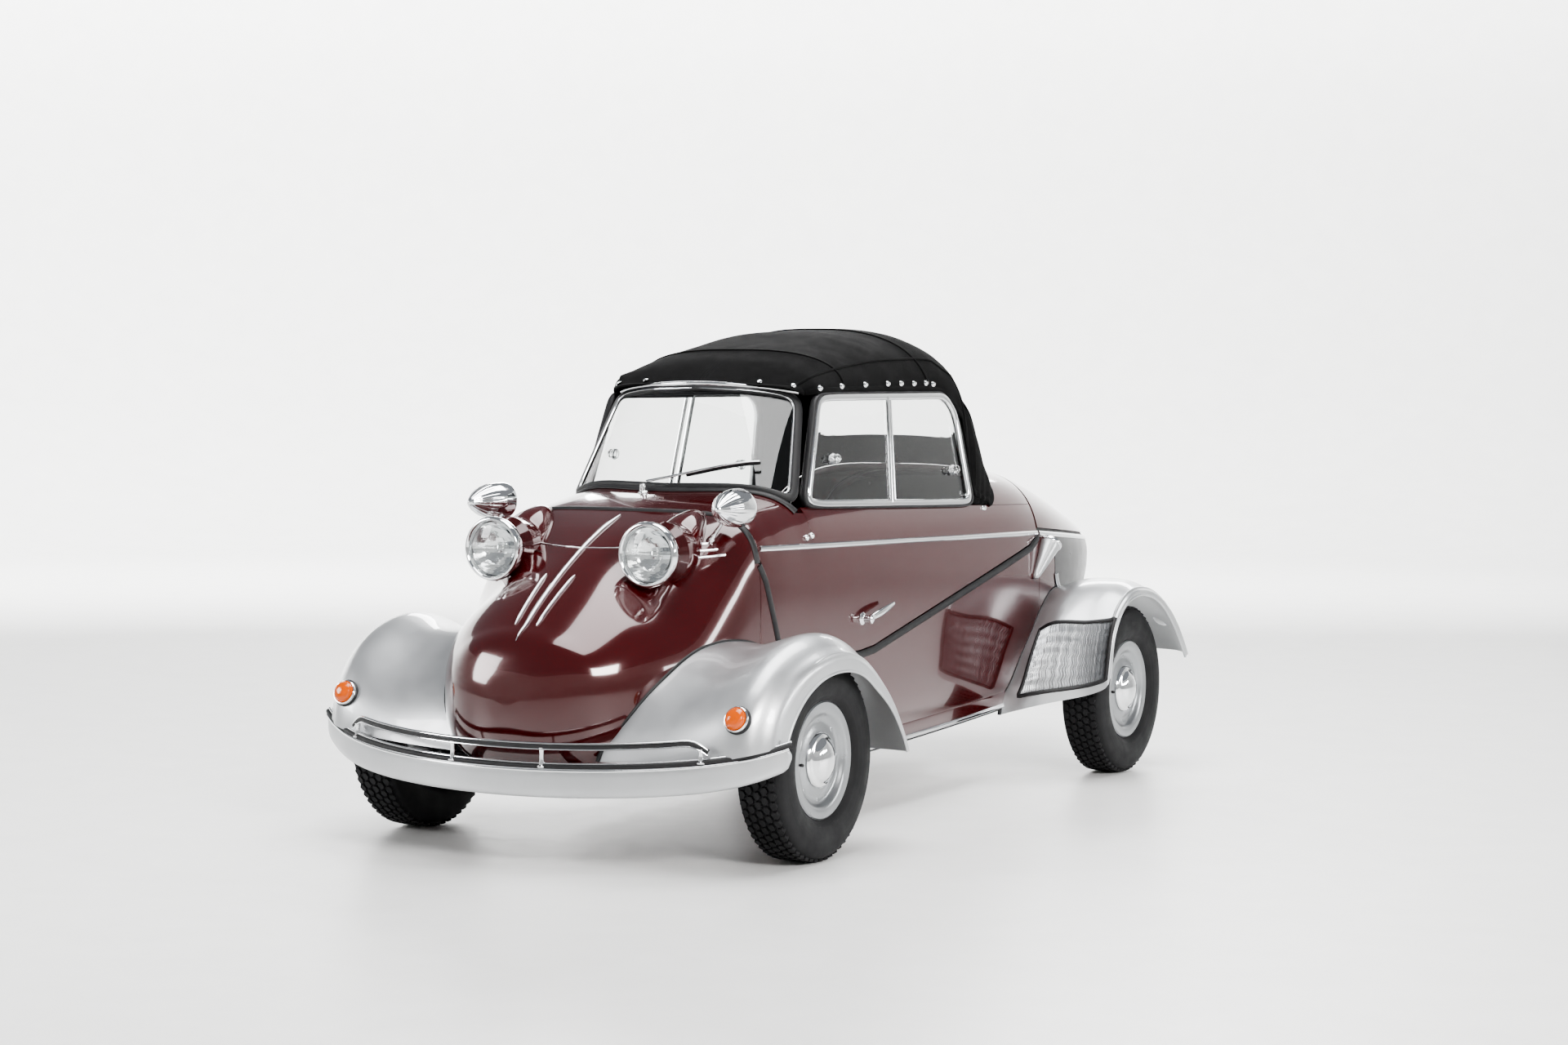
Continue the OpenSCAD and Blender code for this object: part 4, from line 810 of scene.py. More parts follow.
@dataclass
class FixedBody:
    """The panels that don't move: nose, tub, rear body, engine cover and tail lid, with their trim."""

    shape: Shape
    ring: int = 96
    fine: float = 22.0

    def build(self) -> None:
        """Makes every piece of the body."""
        self.nose()
        self.tub()
        self.rear()
        self.shroud()
        self.lid()
        self.seals_and_gap_shade()
        self.belt_strips()
        self.nose_strips()
        self.sill_strips()
        self.behind_lamp_strips()
        self.drains()

    def nose(self) -> None:
        """The nose: whole sections from its tip to the canopy, dipped beneath each headlight."""
        s = self.shape
        back = s.canopy_front_y - s.nose_y
        d = back * np.linspace(0.0015, 1, 64) ** 1.6
        angle = (np.arange(self.ring) + 0.5) * 360 / self.ring
        y, a = outer_product(s.nose_y + d, angle)
        outer = s.section(y, a)
        depth = 2 * s.wall
        d_in = 3 + depth + (d - d[0]) * (back - 3 - depth) / (back - d[0])
        y_in, _ = outer_product(s.nose_y + d_in, angle)
        inner = s.section(y_in, a, s.wall)
        outer[0], inner[0] = outer[0].mean(0), inner[0].mean(0)
        deep = Curve([[s.nose_y + d, s.axle_z + h] for d, h in (
            (0, 107), (12, 40), (30, 8), (60, -12), (130, -28), (250, -38), (550, -68), (900, -78))])
        for grid in (outer, inner):
            at, z = grid[..., 1], grid[..., 2]
            wide, bottom = s.wide_z(at), s.bottom_z(at)
            stretch = (wide - np.minimum(deep(at), bottom)) / (wide - bottom)
            grid[..., 2] = np.where(z < wide, wide - (wide - z) * stretch, z)
        scoop_x, scoop_y = 222, s.front_axle_y - 205
        off = ((np.abs(outer[..., 0]) - scoop_x) / 62) ** 2 + ((outer[..., 1] - scoop_y) / 52) ** 2
        dip = 11 * np.exp(-off)
        outer[..., 2] -= np.where(outer[..., 2] > s.wide_z(y), dip, 0)
        Piece("nose_shell", replaces=("nose_panel",)).add(outer, MAROON, inner, closed=True).make(bevel=2.5)

    def tub(self) -> None:
        """The tub: sections from the door's line on the left, round beneath, to the belt on the right."""
        s = self.shape
        ys = dense([s.canopy_front_y + 0.5, s.canopy_front_y + 24, *s.door_knots[2:, 0]], self.fine)
        y, share = outer_product(ys, np.linspace(0, 1, 64))
        left, right = s.angle_at(y, s.door_z(y)), -180 - s.angle_at(y, s.belt_z(y))
        angle = mix(left, right, share)
        piece = Piece("tub_shell", replaces=("body_tub",))
        piece.add(s.section(y, angle), MAROON, s.section(y, angle, s.wall)).make(bevel=2.5)

    def _lower_tail(self, name: str, node: str, start: float, end: float, finish: Finish) -> None:
        """A lower panel of the tail: sections from belt to belt beneath, between two stations."""
        s = self.shape
        share = np.linspace(0, 1, 46)
        ys = mix(start, end, 1 - (1 - share) ** (1.6 if end > s.tail_y - 10 else 1))
        y, v = outer_product(ys, np.linspace(0, 1, 60))
        left = s.angle_at(y, s.belt_z(y))
        angle = mix(left, -180 - left, v)
        outer, inner = s.section(y, angle), s.section(np.minimum(y, s.tail_y - 28), angle, s.wall)
        Piece(name, replaces=(node,)).add(outer, finish, inner).make(bevel=2.5)

    def rear(self) -> None:
        """The body beside the rear seats, down to the engine cover."""
        s = self.shape
        self._lower_tail("rear_body_shell", "rear_body", s.tail_joint_y + 0.5, s.shroud_y - 1, MAROON)

    def shroud(self) -> None:
        """The rounded black cover beneath the engine, with the silver edge of the silencer guard."""
        s = self.shape
        self._lower_tail("engine_cover", "engine_shroud", s.shroud_y + 1, s.tail_y - 4.2, BLACK)
        ys = np.linspace(s.shroud_y + 6, s.shroud_y + 150, 40)
        for right in (False, True):
            zs = s.axle_z + mix(330, 205, ((ys - ys[0]) / np.ptp(ys)) ** 0.6)
            path, up = s.side_path(ys, zs, 2, right)
            piece = Piece(f"cover_edge_{'right' if right else 'left'}")
            piece.strip(path, ellipse(20, 9), up, SILVER).make()

    def lid(self) -> None:
        """The tail lid: sections over the top from belt to belt, with notches for its hinges."""
        s = self.shape
        start = s.tail_joint_y + s.gap
        ys = mix(start, s.tail_y - 4.2, 1 - (1 - np.linspace(0, 1, 56)) ** 1.5)
        y, v = outer_product(ys, np.linspace(0, 1, 72))
        left = s.angle_at(y, s.belt_z(y) + s.gap + 3)
        angle = mix(left, 180 - left, v)
        outer, inner = s.section(y, angle), s.section(np.minimum(y, s.tail_y - 28), angle, s.wall)
        middle = (outer[1:, 1:] + outer[:-1, :-1]) / 2
        notch = (middle[..., 1] < start + 26) & (np.abs(np.abs(middle[..., 0]) - 120) < 20)
        piece = Piece("tail_lid_shell", "tail_lid", ("tail_lid",))
        piece.add(outer, MAROON, inner, keep=~notch).make(bevel=2.5)

    def seals_and_gap_shade(self) -> None:
        """Black rubber seals sunk in the gaps, which also stand in for the shade in them as clean dark
        lines: round the door, along the belts, before the cowl and the lid.
        """
        s = self.shape
        band = ellipse(20, 9)
        # Black strips sunk in the shut lines: seals, and painted shade that shows the gaps as clean dark
        # lines.
        piece = Piece("gap_seals_and_shade")
        ys = dense(list(s.door_knots[:, 0]), 10.0)
        path, up = s.side_path(ys, s.door_z(ys) - 7, 0)
        piece.strip(path, band, up, RUBBER)
        ys = np.linspace(s.canopy_front_y, s.tail_joint_y, 160)
        path, up = s.side_path(ys, s.belt_z(ys) + 4, 0, True)
        piece.strip(path, band, up, RUBBER)
        left = s.angle_at(s.canopy_front_y, s.door_z(s.canopy_front_y))
        right = s.angle_at(s.canopy_front_y, s.belt_z(s.canopy_front_y))
        for y, sunk in ((s.canopy_front_y - 7, 0), (s.tail_joint_y + 1, 8)):
            angle = np.linspace(left, 180 - right, 140)
            up = s.normal(np.full_like(angle, y), angle)
            piece.strip(s.section(np.full_like(angle, y), angle) - sunk * up, band, up, RUBBER)
        piece.make()
        # The lid's gap gets a black strip sunk 7 mm in: its seal, and painted shade for the gap.
        ys = np.linspace(s.tail_joint_y, s.tail_y - 20, 80)
        piece = Piece("lid_seal_and_shade")
        for right in (False, True):
            path, up = s.side_path(ys, s.belt_z(ys) + 4, -7, right)
            piece.strip(path, ellipse(18, 7), up, RUBBER)
        piece.make()

    def belt_strips(self) -> None:
        """Half-round chrome strips along the belt, which taper to points at the tail."""
        s = self.shape
        ys = np.linspace(s.canopy_front_y + 12, s.canopy_end_y - 3, 110)
        for name, body, right in (("belt_strip_left", "canopy", False), ("belt_strip_right", "body", True)):
            path, up = s.side_path(ys, s.belt_z(ys) - 7, 1.5, right)
            Piece(name, body).strip(path, ellipse(14, 9), up, CHROME).make()
        ys = s.tail_joint_y + 4 + (s.tail_y - 5 - s.tail_joint_y) * (1 - (1 - np.linspace(0, 1, 110)) ** 1.8)
        left, up = s.side_path(ys, s.belt_z(ys) - 7, 1.5)
        path = np.concatenate([left, mirrored(left[::-1])[1:]])
        ups = np.concatenate([up, mirrored(up[::-1])[1:]])
        Piece("belt_strip_tail").strip(path, ellipse(14, 9), ups, CHROME).make()

    def nose_strips(self) -> None:
        """The middle strip down the nose and the two short ones beside it, pointed at their ends."""
        s = self.shape
        piece = Piece("nose_strips")
        ys = np.linspace(s.nose_y + 46, s.canopy_front_y - 46, 120)
        for x, first in ((0.0, ys[0]), (30.0, s.nose_y + 87), (-30.0, s.nose_y + 87)):
            run = ys if x == 0 else np.linspace(first, first + 150, 60)
            share = np.linspace(0, 1, len(run))
            spread = x * (1 + 0.35 * share)
            path, up = s.roof_path(spread + 0 * run, run, 1.5)
            taper = np.minimum(1, 0.25 + 6 * np.minimum(share, 1 - share))
            piece.strip(path, ellipse(11 if x == 0 else 8, 9), up, CHROME, taper)
        piece.make()

    def sill_strips(self) -> None:
        """Chrome strips low on the sides between the mudguards, with a black rubber strip beneath."""
        s = self.shape
        ys = np.linspace(s.front_axle_y + 440, s.rear_axle_y - 350, 60)
        base = s.bottom_z(ys)
        piece = Piece("sill_strips")
        for right in (False, True):
            path, _ = s.side_path(ys, base + 50, 0, right)
            side = np.sign(path[:, :1]) * [1, 0, 0]
            piece.strip(path - [0, 0, 16] - 4 * side, ellipse(44, 9, 16, 3), side, MAROON)
            piece.strip(path - [0, 0, 39] - 2 * side, ellipse(14, 12), side, CHROME)
            piece.strip(path - [0, 0, 47] - 8 * side, ellipse(10, 12), side, RUBBER)
        piece.make()

    def behind_lamp_strips(self) -> None:
        """Three short tapered strips behind each headlight, one above another."""
        s = self.shape
        piece = Piece("wing_strips")
        for right in (False, True):
            for start, end, rise in ((-128, 2, 490), (-114, 8, 477), (-100, 14, 464)):
                ys = s.front_axle_y + np.linspace(start, end, 40)
                share = np.linspace(0, 1, 40)
                zs = s.axle_z + rise + 14 * share
                path, up = s.side_path(ys, zs, 1, right)
                piece.strip(path, ellipse(7, 7), up, CHROME, 0.3 + 0.7 * share)
        piece.make()

    def drains(self) -> None:
        """Two thin drain tubes beneath the sill."""
        s = self.shape
        piece = Piece("drain_tubes")
        for y in (s.front_axle_y + 690, s.front_axle_y + 760):
            z = float(s.bottom_z(np.array(y)))
            at = placement([s.half_width - 95, y, z + 14], [0.15, 0, -1], [1, 0, 0])
            piece.turned([[4, 0], [4, 30], [4.6, 32], [4.6, 35]], at, RUBBER, 16)
        piece.make()


# ---- Mudguards ----


@dataclass
class Mudguard:
    """One pair of mudguards: a profile across the wheel carried round the wheel's axis.

    The profile has six knots from the body to the lip: root, valley, crown, edge, shoulder and lip. Each but
    the shoulder, which lies between edge and lip, is a radius over the tyre's by angle round the wheel.
    """

    shape: Shape
    name: str
    wheel_y: float
    tuck: float
    start: Callable[[Array], Array]
    end: float
    root: Curve
    valley: Curve
    crown: Curve
    edge: Curve
    lip: Curve
    crease: float
    crease_from: float

    def point(self, a: Array, t: Array) -> Array:
        """Point at angle a round the wheel and share t of the profile, a smooth curve through its knots."""
        s = self.shape
        r = s.axle_z + self.root(a)
        y = self.wheel_y - r * np.cos(np.radians(a))
        z = np.maximum(s.axle_z + r * np.sin(np.radians(a)), s.bottom_z(y) + 45)
        root_x = s.x_at(y, z) - 3
        out_x = s.guard_x - self.tuck * np.maximum(0, np.cos(np.radians(a))) ** 2
        edge, lip = self.edge(a), self.lip(a)
        xs = [root_x, mix(root_x, out_x, 0.35), out_x - 80, out_x - 22, out_x - 1, out_x + 0 * r]
        hs = [self.root(a), self.valley(a), self.crown(a), edge, mix(edge, lip, 0.4), lip]
        xs, hs = np.stack(xs, -1), np.stack(hs, -1) + s.axle_z
        before, after = np.maximum(np.arange(6) - 1, 0), np.minimum(np.arange(6) + 1, 5)
        u = np.clip(t, 0, 1) * 5
        i = np.clip(u.astype(int), 0, 4)
        f = u - i

        def pick(values: Array, k: Array) -> Array:
            """The value at knot k."""
            return np.take_along_axis(values, k[..., None], -1)[..., 0]

        def smooth(v: Array) -> Array:
            """The cubic through the knots' values, with chord slopes."""
            slope = (v[..., after] - v[..., before]) / (after - before)
            start, leave, end, arrive = hermite(f)
            return (start * pick(v, i) + leave * pick(slope, i)
                    + end * pick(v, i + 1) + arrive * pick(slope, i + 1))

        x, h = smooth(xs), smooth(hs)
        ridge = np.exp(-(((t - self.crease) / 0.018) ** 2)) * np.clip((a - self.crease_from) / 15, 0, 1)
        h = h + 4.5 * ridge * (t < 0.8)
        x = np.minimum(x + 2.5 * ridge * (t >= 0.8), s.guard_x)
        return stack(x, self.wheel_y - h * np.cos(np.radians(a)), s.axle_z + h * np.sin(np.radians(a)))

    def at(self, way: Array, t: Array) -> Array:
        """Point a share of the way round from the lower front edge to the rear end."""
        return self.point(mix(self.start(t), self.end, way), t)

    def grid(self, ways: Array, shares: Array) -> Array:
        """The surface over shares of the way round."""
        f, t = outer_product(ways, shares)
        return self.at(f, t)

    def build(self, hole: Optional[tuple[float, float, float, float]] = None) -> None:
        """Makes the left and right mudguard, each with its rolled lip and its piping to the body."""
        s = self.shape
        angles = np.linspace(0, 1, 96)
        near_crease = np.linspace(self.crease - 0.05, self.crease + 0.05, 14)
        shares = np.unique(np.concatenate([np.linspace(0, 1, 46), near_crease]))
        shares = shares[(shares >= 0) & (shares <= 1)]
        keep = None
        if hole:
            low, high, near, far = hole
            angles = np.unique(np.concatenate([angles, [low, high]]))
            shares = np.unique(np.concatenate([shares, [near, far]]))
            a, t = outer_product((angles[1:] + angles[:-1]) / 2, (shares[1:] + shares[:-1]) / 2)
            keep = ~((a > low) & (a < high) & (t > near) & (t < far))
        grid = self.grid(angles, shares)
        inside = [s.guard_x - 80, self.wheel_y, s.axle_z]
        lip_out = self.grid(angles, np.array([0.985]))[:, 0]
        for side, turn in SIDES.items():
            node = f"{self.name}_fender_{side}"
            piece = Piece(f"{self.name}_mudguard_{side}", replaces=(node,))
            piece.wall(turn(grid), 3.0, turn(np.array(inside)), SILVER, keep)
            lip = turn(grid[:, -1])
            piece.strip(lip, ellipse(7, 7), unit(turn(lip_out) - lip + 1e-6), SILVER)
            piece.make()
            piping = Piece(f"{self.name}_piping_{side}")
            up = grid_normals(grid)[:, 1]
            root = turn(grid[:, 0])
            piping.strip(root, ellipse(11, 11), turn(up), RUBBER)
            if hole:
                low, high, near, far = hole
                ring = np.concatenate([
                    self.at(np.linspace(low, high, 40), np.full(40, near)),
                    self.at(np.full(50, high), np.linspace(near, far, 50))[1:],
                    self.at(np.linspace(high, low, 40), np.full(40, far))[1:],
                    self.at(np.full(50, low), np.linspace(far, near, 50))[1:-1]])
                ups = unit(ring - np.array(inside))
                piping.strip(turn(ring), ellipse(12, 8), turn(ups), RUBBER, loop=True)
            piping.make()

    def mesh_panels(self, low: float, high: float, near: float, far: float) -> None:
        """Aluminium mesh panels: a sheet folded into fine ribs that wave from side to side as they climb."""
        a, t = outer_product(np.linspace(low, high, 48), np.linspace(near, far, 290))
        t2 = np.clip(t + 0.0035 * np.sin(a * 180), near, far)
        grid = self.at(a, t2)
        ribs = np.sin(2 * math.pi * 46 * (t - near) / (far - near))
        heart = np.array([self.shape.guard_x - 80, self.wheel_y, self.shape.axle_z])
        grid = grid + unit(grid - heart) * (1.6 * ribs[..., None] - 2)
        for side, turn in SIDES.items():
            piece = Piece(f"mudguard_mesh_{side}", replaces=("fender_meshes",))
            piece.add(turn(grid), ALUMINIUM).make()


# ---- Bumper ----


@dataclass
class Bumper:
    """The blade, the strip on its top edge, the rail above and the posts between."""

    shape: Shape
    height: float = 72.0
    thick: float = 24.0
    rail_share: float = 0.76

    def line(self, share: Array) -> Array:
        """Middle of the blade at a share of its reach: back by the power 2.2, up by the powers 2 and 8."""
        s, reach, k = self.shape, self.shape.guard_x + 2, np.abs(share)
        back = s.front_y + self.thick / 2 + 231 * k**2.2
        return stack(share * reach, back, s.axle_z - 30 + 34 * k**2 + 36 * k**8)

    def half(self, share: Array) -> Array:
        """Half the blade's height."""
        return self.height / 2 * (1 - 0.25 * np.abs(share) ** 8)

    def top(self, share: Array) -> Array:
        """Height of the blade's flat top."""
        return self.line(share)[..., 2] + self.half(share) * math.sin(math.radians(67.5)) ** 0.6

    def rail(self, share: Array) -> Array:
        """Middle of the rail."""
        return self.line(share * self.rail_share) + np.array([0, -2, self.height / 2 + 48])

    def build(self) -> None:
        """Makes the bumper and its rail."""
        s = self.shape
        share = np.linspace(-1, 1, 180)
        a = np.radians(np.arange(40) * 9.0)
        k, turn = outer_product(share, a)
        bow = self.thick / 2 * spow(np.cos(turn), 0.7)
        end = np.minimum(1, (1.001 - np.abs(k)) * 60) ** 0.5
        grid = self.line(k) + stack(0, bow * end, self.half(k) * end * spow(np.sin(turn), 0.6))
        piece = Piece("bumper_blade", replaces=("front_bumper",))
        piece.add(capped(grid), SILVER, closed=True)
        for x in (-150, 150):
            front = float(self.line(np.array(x / (s.guard_x + 2)))[1]) + 9
            piece.block([x - 15, front, s.axle_z - 40], [x + 15, front + 148, s.axle_z - 10], BLACK, 5)
        piece.make()
        up = np.array([0, -0.25, 1.0])
        path = self.line(share)
        path[:, 2] = self.top(share) + 1
        Piece("bumper_strip").strip(path + [0, 1, 1], ellipse(20, 15, 16, 3), up, RUBBER).make()
        bright = Piece("bumper_bead")
        bright.strip(path + [0, -11, -8], ellipse(5, 6), up, CHROME)
        bright.strip(path + [0, 0, 8.5], ellipse(7, 5), up, CHROME).make()
        piece = Piece("front_rail", replaces=("bumper_rail",))
        share = np.linspace(-1, 1, 140)
        rail = self.rail(share)
        rail[:, 2] -= 26 * np.clip((np.abs(share) - 0.9) / 0.1, 0, 1) ** 2
        piece.strip(rail, ellipse(14, 14), up, RUBBER)
        for rise in (-6.5, 6.5):
            piece.strip(rail + [0, -3, rise], ellipse(8, 5), up, CHROME)
        for k in (-0.97, -0.25, 0.25, 0.97):
            foot = self.rail(np.array(k))
            low = float(self.top(np.array(k * self.rail_share)))
            tall = foot[2] - low - 4 - 26 * max(0, (abs(k) - 0.9) / 0.1) ** 2
            profile = [[11, 0], [11, 3], [6.5, 6], [5.2, 16], [5.2, tall - 12], [7, tall]]
            at = placement([foot[0], foot[1], low], [0, 0, 1], [1, 0, 0])
            piece.turned(profile, at, CHROME, 24)
        piece.make()


# ---- Lamps ----


@dataclass
class Lamps:
    """Headlights in their pods, turn signals and tail lamps."""

    shape: Shape
    front: Mudguard
    rear: Mudguard
    light_x: float = 222.0
    radius: float = 79.0
    depth: float = 64.0
    pod_knots: tuple = ((64, 1, 0), (90, 0.97, 0.05), (120, 0.9, 0.15), (160, 0.74, 0.4), (205, 0.5, 0.75),
                        (240, 0.25, 1))

    def __post_init__(self) -> None:
        """Places the headlights."""
        self.light_y = self.shape.front_axle_y - 176
        self.light_z = self.shape.axle_z + 485

    def build(self) -> None:
        """Makes every lamp."""
        self.pods()
        self.headlights()
        self.signals()
        self.tails()

    def pods(self) -> None:
        """Body-coloured fairings: rings that shrink and sink into the nose behind each lamp."""
        s = self.shape
        knots = np.array(self.pod_knots, float)
        back, a = outer_product(np.linspace(self.depth, 240, 34), np.radians(np.arange(64) * 5.625))
        r = (self.radius - 2) * Curve(knots[:, [0, 1]])(back)
        down = Curve(knots[:, [0, 2]])(back)
        y = self.light_y + back
        skin = s.z_on(y, np.array(self.light_x))
        middle = np.maximum(mix(self.light_z, skin, down), skin)
        x = self.light_x + r * np.cos(a)
        under = s.z_on(y, x) - 3
        lift = np.where(np.sin(a) < 0, 0, 0.4 * r * np.maximum(0, np.sin(a)))
        grid = stack(x, y, np.maximum(middle + r * np.sin(a), under + lift))
        piece = Piece("lamp_pods", replaces=("headlight_pods",))
        for turn in SIDES.values():
            piece.add(capped(turn(grid)), MAROON, closed=True)
        piece.make(crease=60)

    def headlights(self) -> None:
        """Deep chrome bezels, a bright bowl with its bulb and a domed lens with upright ribs."""
        shells, lenses = Piece("headlamp_bezels", replaces=("headlights",)), Piece("headlamp_lenses")
        r = self.radius
        outer = [[r - 30, 0], [r - 14, 30], [r - 2, 48], [r, 58], [r + 0.5, 66], [r - 2, 73], [r - 6, 75],
                 [r - 10, 72], [r - 12, 66], [r - 13, 60], [r - 20, 52], [r - 34, 34], [r - 52, 20],
                 [14, 14], [0, 13]]
        for side in (1, -1):
            at = placement([side * self.light_x, self.light_y + self.depth, self.light_z], [0, -1, 0])
            shells.turned(outer, at, CHROME, 80, 3.4)
            shells.turned([[9, 14], [9, 26], [13, 30], [13, 34], [8, 40], [0.5, 42]], at, CHROME, 32)
            rho, a = outer_product(np.linspace(0, 1, 34), np.radians(np.arange(120) * 3.0))
            reach = (r - 11.5) * rho
            dome = 60 + 15 * (1 - rho**2)
            ribs = 0.7 * np.abs(np.sin(reach * np.cos(a) * 0.34)) * np.clip((1 - rho) * 12, 0, 1)
            front = stack(reach * np.cos(a), reach * np.sin(a), dome)
            behind = stack(reach * np.cos(a), reach * np.sin(a), dome - 3.2 - ribs)
            lens = np.concatenate([front, behind[::-1]])
            lens = lens @ at[:3, :3].T + at[:3, 3]
            lenses.add(lens, GLASS, closed=True)
            screw = placement([side * self.light_x, self.light_y + 12, self.light_z - r + 2], [0, -1, -0.2])
            shells.turned([[5, -6], [5, 2], [3.6, 4], [1, 4.4]], screw, CHROME, 20)
        shells.make()
        lenses.make(crease=70)

    @staticmethod
    def _ribbed(ribs: int, depth: float) -> Callable[[Array, Array], Array]:
        """A factor on the radius: shallow waves round the lamp that fade at its middle."""

        def waves(share: Array, a: Array) -> Array:
            """The factor at a ring's share of the profile and an angle."""
            return 1 - depth * np.abs(np.sin(ribs / 2 * a)) * np.sin(math.pi * np.clip(share, 0, 1))

        return waves

    def _on_guard(self, guard: Mudguard, a: float, t: float) -> Array:
        """Placement of a lamp on a mudguard, its axis along the wheel's radius."""
        p = guard.point(np.array(a), np.array(t))
        axis = [0, -math.cos(math.radians(a)), math.sin(math.radians(a))]
        return placement(p, axis, [1, 0, 0])

    def signals(self) -> None:
        """Amber domes in a chrome ring over a black rubber one."""
        base = Piece("signal_rings", replaces=("turn_signals",))
        lens = Piece("signal_lenses")
        for place in twins(self._on_guard(self.front, 21, 0.4)):
            base.turned([[31, -8], [33.5, -2], [34, 3], [31, 6], [27, 6]], place, RUBBER, 72, 1)
            base.turned([[29, 3], [31, 6], [31, 11], [28.5, 14], [26, 12], [25.5, 6]], place, CHROME, 72, 1)
            dome = [[26, 8], [26, 13], [25, 18], [22, 22.5], [17, 25.5], [10, 27.5], [4, 28], [0.1, 28]]
            lens.turned(dome, place, AMBER, 96, 1.2, self._ribbed(48, 0.02))
        base.make()
        lens.make()

    def tails(self) -> None:
        """Red round lamps with chrome rims at the back of the rear mudguards."""
        base, lens = Piece("tail_lamp_rims", replaces=("tail_lamps",)), Piece("tail_lamp_lenses")
        for place in twins(self._on_guard(self.rear, 146, 0.42)):
            rim = [[28, -0.5], [30, 0.5], [30, 9], [28, 12], [24.5, 11], [24, 6]]
            base.turned(rim, place, CHROME, 64, 1)
            dome = [[24.5, 6], [24.5, 12], [23, 17], [19, 21], [12, 23], [5, 24], [0.1, 24]]
            lens.turned(dome, place, RED, 96, 1.2, self._ribbed(36, 0.03))
        base.make()
        lens.make()


# ---- Fittings ----


